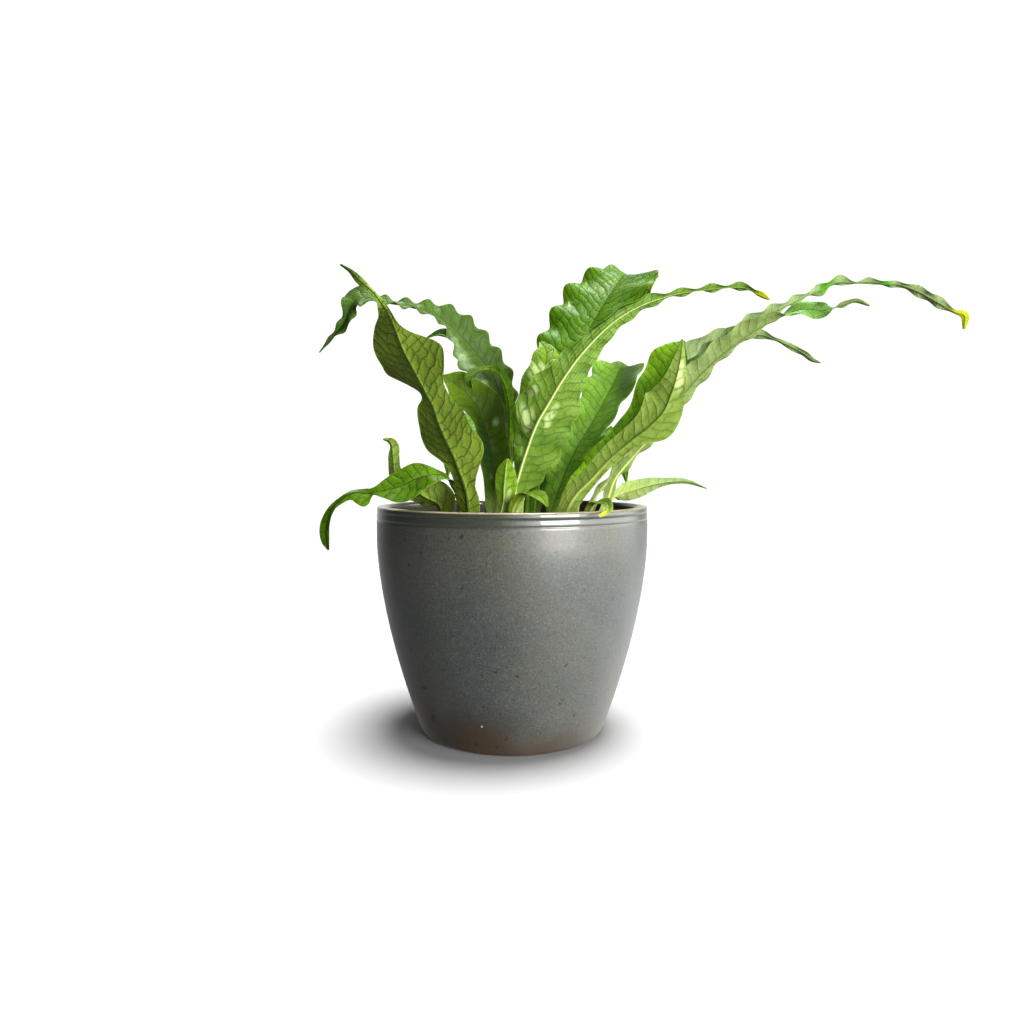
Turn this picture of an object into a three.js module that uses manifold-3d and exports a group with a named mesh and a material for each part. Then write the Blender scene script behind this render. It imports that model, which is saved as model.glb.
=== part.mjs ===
// A crocodile fern (Microsorum musifolium) in a glazed stoneware pot.
// Millimetres, +Z up, origin at the middle of the pot's base, the open side of the plant towards -Y.
import * as THREE from 'three';
import { mergeVertices } from 'three/addons/utils/BufferGeometryUtils.js';
import Module from 'manifold-3d';

const wasm = await Module();
wasm.setup();

// Pot
const POT_RADIUS = 95;
const POT_HEIGHT = 158.5;
const BASE_RADIUS = 64.6;
const BASE_ROUND = 3;
const WALL = 8;
const FLOOR = 10;
const BELLY_TOP = 136;      // below this height the wall curves in to the base
const BELLY_POWER = 1.65;
const BELLY_STEPS = 9;
const COLLAR_FOOT = 149;    // foot of the plain band under the rim
const COLLAR_GROOVE = 0.9;
const LIP_ROUND = 3.2;
const POT_SIDES = 36;

// Soil and rhizome
const GAP = 0.3;            // clearance kept between neighbouring pieces
const SOIL_TOP = 134;
const SOIL_RINGS = [0.34, 0.67, 1];
const SOIL_SIDES = 22;
const SOIL_BUMP = 1.7;
const RHIZOME_RADIUS = 6.5;
const RHIZOME_SIDES = 7;
const RHIZOME_STEPS = 5;
const ROOT_Z = 134;         // height at which every stipe ends inside the rhizome
const SOCKET_RADIUS = 3.4;
const SOCKET_LENGTH = 13;
const SOCKET_SIDES = 6;

// Blades
const HALF_THICKNESS = 0.5;
const RIB_DEPTH = 1.3;      // the midrib stands out of the underside
const RIB_FULL_WIDTH = 6;   // half width at which the rib reaches its full depth
const STIPE_HALF = 2.2;
const STIPE_LENGTH = 14;
const STIPE_FLARE = 0.45;   // widening per millimetre above the stipe, where a frond has no flare of its own
const ACROSS = [-1, -0.5, 0, 0.5, 1];
const STEP = 7.8;
const STEPS_PER_RUFFLE = 2.7;
const CHANNEL = 0.2;        // how far the two halves rise from the midrib, per millimetre of width
const SWEEP = 0.2;          // how far side veins lean towards the tip, per millimetre of width
const LOBE = 0.07;          // how far the margin swings in and out, as a share of the half width
const LOBE_LEAD = 1.2;      // the lobes run ahead of the ruffles by this angle
const LOBE_FROM = 3;        // half widths between which the lobes grow to their full share
const LOBE_FULL = 11;
const MARGINS_APART = 2.1;  // angle between the waves of the two margins
const RUFFLE_SHARE = 0.45;  // a ruffle is never higher than this share of the half width
const PLEAT = 0.6;          // height of the quilting between side veins
const PLEAT_FULL = 10;      // half width at which the quilting reaches its full height
const THINNEST_HALF = 0.5;
const GROW_IN = 60;         // ruffles build up over this length from the root
const FADE_OUT = 20;
const FEWEST_STEPS = 8;
const LENGTH_SAMPLES = 60;  // samples for each station, to measure along the midrib
const GOLDEN_ANGLE = 2.399963;

// Branches of the creeping rhizome, as x, y of its middle line
const BRANCHES = {
  front: [[-42, -14], [-18, -27], [6, -27], [30, -31], [58, -36]],
  middle: [[-54, -6], [-26, -2], [0, -4], [28, -2], [68, 2]],
  back: [[-28, 24], [-4, 22], [18, 24], [40, 20], [58, 14]],
  cross: [[2, 23], [-4, 8], [-2, -6], [6, -28]],
};

// Fronds. lean is the direction in degrees that the frond leans to, branch and rootX say where it grows,
// ruffle is the height and the pitch of the waves of its margin, and each station of the midrib is
// x, y, z, half width on the left, half width on the right, roll in degrees.
const FRONDS = [
  { name: 'frond_left_arch', lean: 180, branch: 'back', rootX: -4, ruffle: [2.2, 14], stations: [
    [-2, 20, 183, 4, 4, -50], [-6, 20, 218, 11, 11, -56], [-12, 19, 247, 15, 14, -60],
    [-25, 17, 267, 21, 15, -60], [-39, 12, 282, 11, 15, -54], [-53, 8, 292, 3.5, 12, -46],
    [-70, 3, 298, 5, 7, -36], [-87, -3, 300, 6.5, 6, -32], [-104, -7, 302, 11, 12.5, -46],
    [-109, -8, 299, 8, 9, -62], [-113, -8, 293, 7, 4.5, -70], [-116.5, -8, 285, 6, 3.5, -70],
    [-123, -7, 277, 2.6, 3, -60], [-134, -6, 265, 0.6, 0.6, -50]] },
  { name: 'frond_left_front', lean: 235, branch: 'front', rootX: -28, ruffle: [1.2, 40], stations: [
    [-29, -36, 160, 8, 11, 10], [-31, -39, 172, 8, 9, 9], [-35, -43, 184, 16, 8, 8],
    [-38, -46, 193, 22, 20, 5], [-43, -49, 204, 22, 24.5, 2], [-47, -51, 214, 19, 21, 0],
    [-50, -54, 224, 13, 14, -2], [-54, -56, 232, 16, 8, -3], [-58, -59, 240, 24, 33, -2],
    [-62, -62, 248, 25, 33, 0], [-67, -66, 258, 15, 27, 2], [-71, -69, 269, 5, 20, 4],
    [-75, -72, 279, 2.5, 9, 12], [-80, -74, 286, 2, 2, 40], [-85, -74, 292, 1.6, 1.6, 55],
    [-92, -74, 298, 2.4, 2.4, 40], [-98, -73, 304, 1.4, 1.4, 25], [-104, -72, 308, 0.6, 0.6, 20]] },
  { name: 'frond_left_low', lean: 185, branch: 'middle', rootX: -40, ruffle: [1, 44], stations: [
    [-35, -16, 161, 7, 7, 40], [-40, -23, 174, 7, 7, 15], [-47, -30, 180, 7, 3, -35],
    [-60, -37, 179, 11, 11, -58], [-73, -39, 173, 13, 11, -58], [-84, -39, 170, 7, 7, -50],
    [-91, -38, 169, 3, 3, -50], [-95, -37, 168, 11, 3, -62], [-106, -37, 168, 5, 2.2, -55],
    [-114.5, -36, 163, 5, 3.5, -42], [-120.5, -35, 156, 5.5, 4.5, -42], [-124.5, -34, 145, 5.5, 4.5, -45],
    [-124.5, -34, 136, 4.5, 4, -45], [-123, -33, 130, 1, 1, -45]] },
  { name: 'frond_left_curl', lean: 170, branch: 'middle', rootX: -50, flare: 1.6, ruffle: [0.8, 30], stations: [
    [-50, -6, 157, 19, 12, 40], [-60, -7, 164, 20, 16, 48], [-71, -8, 171, 12, 14, 55],
    [-81, -8, 180, 7, 10, 60], [-83, -7, 191, 5.5, 7, 60], [-84, -5, 200, 5, 3.5, 60],
    [-87, -3, 204, 2.4, 2.4, 60], [-91, -2, 205, 0.6, 0.6, 60]] },
  { name: 'frond_left_dark', lean: 185, branch: 'middle', rootX: -18, ruffle: [1.6, 34], stations: [
    [-13, 1, 170, 9, 6, -60], [-14, 1, 190, 13, 13, -62], [-18, 1, 211, 10, 16, -62],
    [-26, 0, 230, 13, 17, -60], [-38, -3, 242, 14, 12, -55], [-49, -6, 249, 1, 1, -50]] },
  { name: 'frond_left_back', lean: 180, branch: 'back', rootX: -18, ruffle: [1.2, 26], stations: [
    [-8, 34, 183, 4, 4, -50], [-10, 36, 218, 9, 9, -50], [-20, 37, 246, 9, 11, -52],
    [-34, 37, 269, 6, 9, -52], [-45, 36, 281, 3, 6, -50], [-54, 35, 285, 2.5, 4, -50],
    [-65, 34, 281, 0.6, 0.6, -50]] },
  { name: 'frond_left_curled_tip', lean: 180, branch: 'middle', rootX: -4, ruffle: [0.4, 30], stations: [
    [-2, 9, 194, 3, 3, 40], [-2, 9, 228, 4, 4, 40], [-6, 4, 247, 8, 8, 20],
    [-14, -3, 254, 9, 9, 0], [-23, -9, 252, 8, 8, -25], [-29, -14, 245, 4, 4, -45],
    [-27, -18, 239, 0.8, 0.8, -50]] },
  { name: 'frond_centre_front', lean: -25, branch: 'front', rootX: 5, ruffle: [1.6, 20], stations: [
    [2, -31, 166, 7, 4, -75], [5, -36, 181, 17, 4, -78], [10, -41, 197, 21, 5, -78],
    [16, -46, 213, 22, 17, -76], [24, -49, 227, 19, 18, -72], [33, -52, 242, 14, 12, -66],
    [45, -54, 258, 10, 8, -60], [62, -56, 275, 7, 5, -48], [81, -55, 287, 6, 5, -32],
    [104, -52, 295, 4, 3, -18], [128, -48, 299, 3.5, 3.5, -14], [148, -44, 301, 3.5, 3, -20],
    [159, -41, 297.5, 3, 3, -30], [167, -40, 294, 0.8, 0.8, -50]] },
  { name: 'frond_centre_lime', lean: 100, branch: 'middle', rootX: -11, ruffle: [1.5, 24], stations: [
    [4, -12, 170, 4, 5, 0], [7, -14, 194, 6, 9, 0], [11, -14, 216, 12, 13, 0],
    [18, -12, 238, 13, 14, 0], [23, -8, 255, 11, 12, 0], [24, -2, 266, 7, 7, 0],
    [20, 4, 274, 1, 1, 0]] },
  { name: 'frond_centre_tall', lean: 58, branch: 'middle', rootX: 12, ruffle: [3.2, 26], stations: [
    [15, 8, 183, 7, 9, 0], [28, 16, 226, 19, 14, 5], [46, 26, 266, 30, 16, 8],
    [60, 36, 292, 32, 21, 8], [71, 46, 311, 31.5, 30, 9], [81, 57, 326, 25, 29, 12],
    [88, 68, 336, 19, 24, 20], [96, 84, 338, 13, 20, 14], [103, 100, 331, 7, 12, 10],
    [108, 112, 320, 1, 1, 0]] },
  { name: 'frond_centre_back', lean: 55, branch: 'back', rootX: 24, ruffle: [2.2, 24], stations: [
    [36, 24, 172, 12, 10, 15], [47, 27, 197, 16, 11, 18], [59, 33, 217, 17, 14, 18],
    [69, 40, 234, 19, 15.5, 16], [78, 49, 250, 20, 19, 12], [85, 60, 262, 17, 17, 12],
    [93, 73, 265, 10, 7, 16], [101, 84, 263, 0.8, 0.8, 16]] },
  { name: 'frond_right_front', lean: -35, branch: 'front', rootX: 27, ruffle: [0.8, 40], stations: [
    [40, -35, 163, 6, 7.5, -60], [53, -40, 178, 4, 8.5, -62], [64, -45, 191, 5, 8, -64],
    [77, -50, 203, 6, 9, -66], [88, -54, 212, 13, 12, -66], [96, -57, 221, 12, 15, -66],
    [100, -58, 231, 9, 11, -66], [103, -60, 241, 6, 7, -62], [105, -61, 253, 3.5, 4, -56],
    [106, -62, 265, 0.6, 0.6, -50]] },
  { name: 'frond_right_broad', lean: 30, branch: 'middle', rootX: 32, ruffle: [1.4, 30], stations: [
    [43, -2, 167, 6, 7, 44], [57, 1, 185, 8, 9, 48], [72, 5, 203, 7, 12, 52],
    [87, 10, 220, 7, 14, 54], [101, 14, 238, 13, 16, 54], [112, 18, 255, 15, 13, 50],
    [120, 22, 269.5, 10, 8, 45], [127, 25, 278, 0.8, 0.8, 40]] },
  { name: 'frond_right_long', lean: 0, branch: 'middle', rootX: 50, ruffle: [1.9, 17], stations: [
    [58, 1, 162, 3.5, 3.5, -40], [73, -2, 181, 4, 4, -45], [88, -5, 201, 5, 5, -48],
    [102, -8, 219, 8, 8, -50], [117, -9, 239, 12, 10, -52], [132, -10, 257, 10.5, 10, -52],
    [147, -10, 271, 8, 7.5, -50], [165, -10, 284, 8, 7, -44], [184, -10, 294, 6, 5, -36],
    [200, -10, 302, 3.5, 3.5, -32], [212, -10, 307, 5.5, 4, -40], [223, -10, 312, 3, 4.5, -40],
    [236, -10, 311.5, 1.6, 1.6, -30], [245, -11, 312, 1.6, 3, -35], [257, -12, 310.5, 3, 2, -35],
    [265, -12, 310, 2.5, 2.5, -35], [278, -14, 304.5, 3.5, 3.5, -40], [290, -16, 297, 3.5, 3.5, -42],
    [300, -17, 291, 1.6, 1.6, -45], [307, -18, 288, 2.6, 2.6, -60], [307, -18, 279, 1, 1, -60]] },
  { name: 'frond_right_fork', lean: -8, branch: 'front', rootX: 52, ruffle: [1.8, 20], stations: [
    [65, -21, 163, 5, 4, -40], [70.5, -21, 178, 4.5, 5, -45], [85, -23, 196, 5, 5.5, -48],
    [99, -25, 212, 7, 5.5, -50], [111, -26, 229, 7.5, 8, -52], [124, -28, 245, 7, 10, -54],
    [136, -30, 257, 4, 10, -54], [151, -32, 269, 3.5, 10, -50], [166, -34, 279, 4, 8, -40],
    [181, -35, 286, 3, 3.5, 30], [191, -36, 288.5, 6, 7.5, 72], [203, -37, 287.5, 4.5, 4.5, 75],
    [210, -38, 289, 1.5, 1.5, 20], [215, -39, 291, 3, 2.5, -35], [223, -40, 293, 2, 2, -40],
    [232, -40, 290, 0.6, 0.6, -40]] },
  { name: 'frond_right_behind', lean: 8, branch: 'back', rootX: 46, ruffle: [1.6, 26], stations: [
    [52, 20, 169, 4, 4, -40], [73, 25, 190, 6, 6, -45], [95, 32, 217, 9, 9, -48],
    [117, 39, 244, 13, 13, -50], [137, 44, 267, 13, 14, -48], [154, 46, 280, 12, 10, -44],
    [173, 46, 286, 8, 5, -38], [189, 45, 286, 4, 4, -34], [199, 44, 282.5, 2.5, 2.5, -32],
    [210, 43, 277.5, 2.5, 2, -32], [221, 42, 271.5, 3, 3, -34], [227, 41, 266.5, 2, 2, -36],
    [233, 39, 264, 0.6, 0.6, -40]] },
  { name: 'frond_right_low', lean: 5, branch: 'middle', rootX: 63, ruffle: [0.5, 40], stations: [
    [71, 5, 161, 4, 4, -30], [79, 7, 167, 12, 7, -46], [88, 9, 169, 13.5, 8, -48],
    [99, 10, 172, 9, 7, -48], [109, 11, 174, 5.5, 4.5, -48], [119, 11, 175, 3.4, 3, -46],
    [129, 11, 174.5, 2.4, 1.6, -44], [141, 10, 170, 0.6, 0.6, -40]] },
  { name: 'frond_young_left', lean: 250, branch: 'front', rootX: -14, ruffle: [0.4, 20], stations: [
    [-6, -43, 160, 6, 5, 0], [-5, -45, 173, 8, 7, 0], [-4, -46, 184, 6, 6, 0],
    [-3, -46, 191, 0.8, 0.8, 0]] },
  { name: 'frond_young_front', lean: -30, branch: 'front', rootX: -4, ruffle: [0.4, 20], stations: [
    [0, -46, 156, 3, 3, -40], [4, -54, 165, 4, 4, -25], [11, -60, 169, 4.5, 4.5, 15],
    [18, -65, 167, 4, 4, 35], [22, -69, 161, 0.8, 0.8, 40]] },
  { name: 'frond_young_rim', lean: -80, branch: 'front', rootX: 42, ruffle: [0.4, 20], stations: [
    [50, -52, 157, 4, 4, 10], [53, -59, 163, 4, 4, 20], [57, -66, 164, 3.5, 3.5, 30],
    [59, -75, 163, 2.6, 2.6, 25], [58, -83, 159, 2.4, 2.4, 10], [52, -88, 156, 0.8, 0.8, 0]] },
  { name: 'frond_back_left', lean: 112, branch: 'back', rootX: -25, ruffle: [2.2, 24], stations: [
    [-38, 46, 178, 6, 6, 0], [-37, 73, 214, 14, 14, 0], [-42, 106, 230, 16, 16, 5],
    [-50, 142, 224, 14, 14, 10], [-58, 172, 203, 9, 9, 10], [-62, 192, 176, 0.8, 0.8, 10]] },
  { name: 'frond_back_middle', lean: 82, branch: 'back', rootX: 14, ruffle: [2.4, 26], stations: [
    [24, 46, 182, 6, 6, 0], [26, 77, 228, 15, 15, -5], [29, 116, 250, 18, 18, -5],
    [32, 158, 240, 15, 15, 0], [35, 192, 212, 9, 9, 5], [37, 212, 180, 0.8, 0.8, 5]] },
  { name: 'frond_back_right', lean: 62, branch: 'back', rootX: 35, ruffle: [1.8, 24], stations: [
    [48, 44, 172, 6, 6, 0], [60, 73, 202, 13, 13, -5], [74, 108, 214, 15, 15, -8],
    [90, 144, 208, 13, 13, -5], [102, 171, 192, 8, 8, 0], [110, 190, 170, 0.8, 0.8, 0]] },
];

const COLOURS = {
  pot: new THREE.MeshStandardMaterial({ color: 0x5f625e, roughness: 0.25, metalness: 0 }),
  soil: new THREE.MeshStandardMaterial({ color: 0x2e211a, roughness: 0.95, metalness: 0 }),
  rhizome: new THREE.MeshStandardMaterial({ color: 0x5a4630, roughness: 0.8, metalness: 0 }),
  frond: new THREE.MeshStandardMaterial({ color: 0x4f8f1e, roughness: 0.4, metalness: 0 }),
};

function named(name, geometry, material) {
  const mesh = new THREE.Mesh(geometry, material.clone());
  mesh.name = name;
  return mesh;
}

function toSolid(geometry) {
  const bare = geometry.clone();
  bare.deleteAttribute('normal');
  bare.deleteAttribute('uv');
  const merged = mergeVertices(bare, 1e-4);
  const vertProperties = new Float32Array(merged.attributes.position.array);
  const triVerts = new Uint32Array(merged.index.array);
  return new wasm.Manifold(new wasm.Mesh({ numProp: 3, vertProperties, triVerts }));
}

// A cut can leave a loose crumb: only the largest body is kept.
function toGeometry(solid) {
  const bodies = solid.decompose();
  const whole = bodies.reduce((a, b) => (b.volume() > a.volume() ? b : a));
  const mesh = whole.getMesh();
  const geometry = new THREE.BufferGeometry();
  geometry.setAttribute('position', new THREE.BufferAttribute(mesh.vertProperties, 3));
  geometry.setIndex(new THREE.BufferAttribute(mesh.triVerts, 1));
  geometry.computeVertexNormals();
  return geometry;
}

function bellyRadius(z) {
  if (z >= BELLY_TOP) return POT_RADIUS;
  return POT_RADIUS - (POT_RADIUS - BASE_RADIUS) * (1 - z / BELLY_TOP) ** BELLY_POWER;
}

// The lathe's Y axis becomes the pot's Z axis.
function turned(profile, sides) {
  const points = profile.map(([radius, z]) => new THREE.Vector2(radius, z));
  return new THREE.LatheGeometry(points, sides).rotateX(Math.PI / 2);
}

function potGeometry() {
  const profile = [[0, 0], [BASE_RADIUS - BASE_ROUND, 0]];
  for (let i = 0; i < BELLY_STEPS; i += 1) {
    const z = BASE_ROUND + (BELLY_TOP - BASE_ROUND) * (i / (BELLY_STEPS - 1));
    profile.push([bellyRadius(z), z]);
  }
  profile.push([POT_RADIUS - COLLAR_GROOVE, COLLAR_FOOT], [POT_RADIUS, COLLAR_FOOT + 2]);
  const lipMiddle = POT_HEIGHT - LIP_ROUND;
  for (const turn of [0, 45, 90]) {
    const angle = THREE.MathUtils.degToRad(turn);
    const radius = POT_RADIUS - LIP_ROUND * (1 - Math.cos(angle));
    profile.push([radius, lipMiddle + LIP_ROUND * Math.sin(angle)]);
  }
  profile.push([POT_RADIUS - WALL + 2, POT_HEIGHT], [POT_RADIUS - WALL, POT_HEIGHT - 2]);
  for (const z of [BELLY_TOP, 100, 65, 35, FLOOR + 4]) profile.push([bellyRadius(z) - WALL, z]);
  profile.push([bellyRadius(FLOOR) - WALL - 4, FLOOR], [0, FLOOR]);
  return turned(profile, POT_SIDES);
}

function soilHeight(x, y) {
  const coarse = Math.sin(x * 0.19 + 1.3) * Math.cos(y * 0.17 - 0.4);
  const fine = Math.sin(x * 0.43 - y * 0.31 + 2.1);
  return SOIL_TOP + SOIL_BUMP * (0.65 * coarse + 0.35 * fine);
}

// The soil fills the pot from its floor to a crumbly top.
function soilGeometry() {
  const inside = (z) => bellyRadius(z) - WALL - GAP - 0.4;
  const bottom = FLOOR + GAP;
  const positions = [0, 0, soilHeight(0, 0)];
  const rings = SOIL_RINGS.map((part) => ({ radius: inside(SOIL_TOP) * part, z: null }));
  rings.push(...[95, 50, FLOOR + 5].map((z) => ({ radius: inside(z), z })));
  rings.push({ radius: inside(FLOOR) - 5, z: bottom });
  for (const { radius, z } of rings) {
    for (let k = 0; k < SOIL_SIDES; k += 1) {
      const angle = (2 * Math.PI * k) / SOIL_SIDES;
      const [x, y] = [radius * Math.cos(angle), radius * Math.sin(angle)];
      positions.push(x, y, z ?? soilHeight(x, y));
    }
  }
  positions.push(0, 0, bottom);
  const at = (ring, k) => 1 + ring * SOIL_SIDES + (k % SOIL_SIDES);
  const index = [];
  const last = rings.length - 1;
  for (let k = 0; k < SOIL_SIDES; k += 1) {
    index.push(0, at(0, k), at(0, k + 1));
    for (let ring = 0; ring < last; ring += 1) {
      index.push(at(ring, k), at(ring + 1, k), at(ring + 1, k + 1));
      index.push(at(ring, k), at(ring + 1, k + 1), at(ring, k + 1));
    }
    index.push(at(last, k), positions.length / 3 - 1, at(last, k + 1));
  }
  const geometry = new THREE.BufferGeometry();
  geometry.setAttribute('position', new THREE.Float32BufferAttribute(positions, 3));
  geometry.setIndex(index);
  return geometry;
}

function smoothCurve(points) {
  return new THREE.CatmullRomCurve3(points, false, 'catmullrom', 0.5);
}

function branchCurve(branch) {
  return smoothCurve(BRANCHES[branch].map(([x, y]) => new THREE.Vector3(x, y, ROOT_Z - 1)));
}

function rootPoint({ branch, rootX }) {
  const points = branchCurve(branch).getPoints(200);
  const nearest = points.reduce((a, b) => (Math.abs(b.x - rootX) < Math.abs(a.x - rootX) ? b : a));
  return new THREE.Vector3(nearest.x, nearest.y, ROOT_Z);
}

function circle(radius, sides) {
  const shape = new THREE.Shape();
  for (let k = 0; k < sides; k += 1) {
    const angle = (2 * Math.PI * k) / sides;
    const [x, y] = [radius * Math.cos(angle), radius * Math.sin(angle)];
    if (k === 0) shape.moveTo(x, y);
    else shape.lineTo(x, y);
  }
  shape.closePath();
  return shape;
}

function tube(path, radius, sides, steps) {
  const options = { steps, extrudePath: path, bevelEnabled: false };
  return toSolid(new THREE.ExtrudeGeometry(circle(radius, sides), options));
}

// The creeping stem: its branches with blunt growing tips.
function rhizomeSolid(grow) {
  let solid = null;
  const join = (other) => { solid = solid ? solid.add(other) : other; };
  const radius = RHIZOME_RADIUS + grow;
  for (const branch of Object.keys(BRANCHES)) {
    const curve = branchCurve(branch);
    join(tube(curve, radius, RHIZOME_SIDES, RHIZOME_STEPS));
    for (const end of [curve.getPoint(0), curve.getPoint(1)]) {
      join(toSolid(new THREE.IcosahedronGeometry(radius * 1.1, 0).translate(end.x, end.y, end.z)));
    }
  }
  return solid;
}

// Midrib line and the two half widths with the roll, both read at the same place along the frond.
function frondCurves(frond) {
  const root = rootPoint(frond);
  const points = frond.stations.map(([x, y, z]) => new THREE.Vector3(x, y, z));
  const shapes = frond.stations.map(([, , , left, right, roll]) => new THREE.Vector3(left, right, roll));
  const firstRoll = frond.stations[0][5];
  return {
    line: smoothCurve([root, ...points]),
    shape: smoothCurve([new THREE.Vector3(STIPE_HALF, STIPE_HALF, firstRoll), ...shapes]),
  };
}

// Evenly spaced places along the frond, as the curves' parameter t and the length s from the root.
function places(line, step) {
  const fine = LENGTH_SAMPLES * line.points.length;
  const lengths = [0];
  let before = line.getPoint(0);
  for (let i = 1; i <= fine; i += 1) {
    const here = line.getPoint(i / fine);
    lengths.push(lengths[i - 1] + here.distanceTo(before));
    before = here;
  }
  const total = lengths[fine];
  const count = Math.max(FEWEST_STEPS, Math.round(total / step));
  const found = [];
  let i = 0;
  for (let k = 0; k <= count; k += 1) {
    const s = (total * k) / count;
    while (i < fine - 1 && lengths[i + 1] < s) i += 1;
    const part = (s - lengths[i]) / (lengths[i + 1] - lengths[i]);
    found.push({ s, t: Math.min(1, (i + part) / fine) });
  }
  return { total, found };
}

// Across the blade runs side, out of its upper face runs up, and towards the tip runs ahead.
function bladeFrame(line, shape, t, lean) {
  const reach = 1e-3;
  const ahead = line.getPoint(Math.min(1, t + reach)).sub(line.getPoint(Math.max(0, t - reach))).normalize();
  const level = new THREE.Vector3(-Math.sin(lean), Math.cos(lean), 0);
  const up = new THREE.Vector3().crossVectors(ahead, level).normalize();
  const side = new THREE.Vector3().crossVectors(up, ahead);
  const roll = THREE.MathUtils.degToRad(shape.z);
  const turnedSide = side.clone().multiplyScalar(Math.cos(roll)).addScaledVector(up, Math.sin(roll));
  const turnedUp = up.clone().multiplyScalar(Math.cos(roll)).addScaledVector(side, -Math.sin(roll));
  return { ahead, side: turnedSide, up: turnedUp };
}

function halfWidth(value, s, flare) {
  const stipe = STIPE_HALF + flare * Math.max(0, s - STIPE_LENGTH);
  return Math.min(Math.max(value, THINNEST_HALF), stipe);
}

// One row of points across the blade, the upper face first and then the underside.
function bladeRow(frond, curves, { s, t }, total, number, phase) {
  const middle = curves.line.getPoint(t);
  const shape = curves.shape.getPoint(t);
  const frame = bladeFrame(curves.line, shape, t, THREE.MathUtils.degToRad(frond.lean));
  const [height, pitch] = frond.ruffle;
  const grown = Math.min(1, s / GROW_IN) * Math.min(1, (total - s) / FADE_OUT);
  const upper = [];
  const lower = [];
  for (const u of ACROSS) {
    const right = u < 0;
    const width = halfWidth(right ? shape.y : shape.x, s, frond.flare ?? STIPE_FLARE);
    const turn = (2 * Math.PI * s) / pitch + phase + (right ? 0 : MARGINS_APART);
    const lobed = LOBE * THREE.MathUtils.clamp((width - LOBE_FROM) / (LOBE_FULL - LOBE_FROM), 0, 1);
    const out = u * width * (1 + lobed * Math.sin(turn + LOBE_LEAD));
    const ruffle = grown * u * u * Math.min(height, RUFFLE_SHARE * width) * Math.sin(turn);
    const crest = number % 2 ? 1 : -1;
    const pleat = Math.abs(u) === 0.5 ? crest * PLEAT * Math.min(1, width / PLEAT_FULL) : 0;
    const rise = CHANNEL * Math.abs(out) + ruffle + grown * pleat;
    const rib = u === 0 ? RIB_DEPTH * Math.min(1, width / RIB_FULL_WIDTH) : 0;
    const point = middle.clone().addScaledVector(frame.side, out).addScaledVector(frame.up, rise)
      .addScaledVector(frame.ahead, SWEEP * Math.abs(out) * grown);
    upper.push(point.clone().addScaledVector(frame.up, HALF_THICKNESS));
    lower.push(point.clone().addScaledVector(frame.up, -HALF_THICKNESS - rib));
  }
  return [...upper, ...lower];
}

// Both faces are split along the same diagonals, so that they never meet.
function bladeIndex(rows) {
  const wide = ACROSS.length;
  const at = (row, face, column) => row * 2 * wide + face * wide + column;
  const index = [];
  const quad = (a, b, c, d, first) => {
    if (first) index.push(a, b, c, a, c, d);
    else index.push(a, b, d, b, c, d);
  };
  for (let row = 0; row < rows - 1; row += 1) {
    for (let column = 0; column < wide - 1; column += 1) {
      const forward = column >= (wide - 1) / 2;
      quad(at(row, 0, column), at(row + 1, 0, column), at(row + 1, 0, column + 1),
        at(row, 0, column + 1), forward);
      quad(at(row, 1, column), at(row, 1, column + 1), at(row + 1, 1, column + 1),
        at(row + 1, 1, column), forward);
    }
    const edge = wide - 1;
    quad(at(row, 0, edge), at(row + 1, 0, edge), at(row + 1, 1, edge), at(row, 1, edge), true);
    quad(at(row, 0, 0), at(row, 1, 0), at(row + 1, 1, 0), at(row + 1, 0, 0), true);
  }
  const end = rows - 1;
  for (let column = 0; column < wide - 1; column += 1) {
    quad(at(0, 0, column), at(0, 0, column + 1), at(0, 1, column + 1), at(0, 1, column), true);
    quad(at(end, 0, column), at(end, 1, column), at(end, 1, column + 1), at(end, 0, column + 1), true);
  }
  return index;
}

function frondGeometry(frond, order) {
  const curves = frondCurves(frond);
  const step = Math.min(STEP, frond.ruffle[1] / STEPS_PER_RUFFLE);
  const { total, found } = places(curves.line, step);
  const positions = [];
  found.forEach((place, number) => {
    const row = bladeRow(frond, curves, place, total, number, order * GOLDEN_ANGLE);
    for (const point of row) positions.push(point.x, point.y, point.z);
  });
  const geometry = new THREE.BufferGeometry();
  geometry.setAttribute('position', new THREE.Float32BufferAttribute(positions, 3));
  geometry.setIndex(bladeIndex(found.length));
  geometry.computeVertexNormals();
  return geometry;
}

// A round hole that follows the foot of a stipe.
function socketSolid(frond) {
  const { line } = frondCurves(frond);
  const foot = line.getPoint(0);
  const ahead = line.getPoint(1e-3).sub(foot).normalize();
  const path = [foot.clone().addScaledVector(ahead, -GAP)];
  path.push(line.getPointAt(SOCKET_LENGTH / line.getLength()));
  return tube(smoothCurve(path), SOCKET_RADIUS, SOCKET_SIDES, 1);
}

const plant = new THREE.Group();
plant.add(named('pot', potGeometry(), COLOURS.pot));

const soil = toSolid(soilGeometry()).subtract(rhizomeSolid(GAP));
const rhizome = FRONDS.reduce((solid, frond) => solid.subtract(socketSolid(frond)), rhizomeSolid(0));
plant.add(named('soil', toGeometry(soil), COLOURS.soil));
plant.add(named('rhizome', toGeometry(rhizome), COLOURS.rhizome));

FRONDS.forEach((frond, order) => {
  plant.add(named(frond.name, frondGeometry(frond, order), COLOURS.frond));
});

export default plant;
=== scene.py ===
import math

import bpy
import numpy as np
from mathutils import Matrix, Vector, noise


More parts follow.
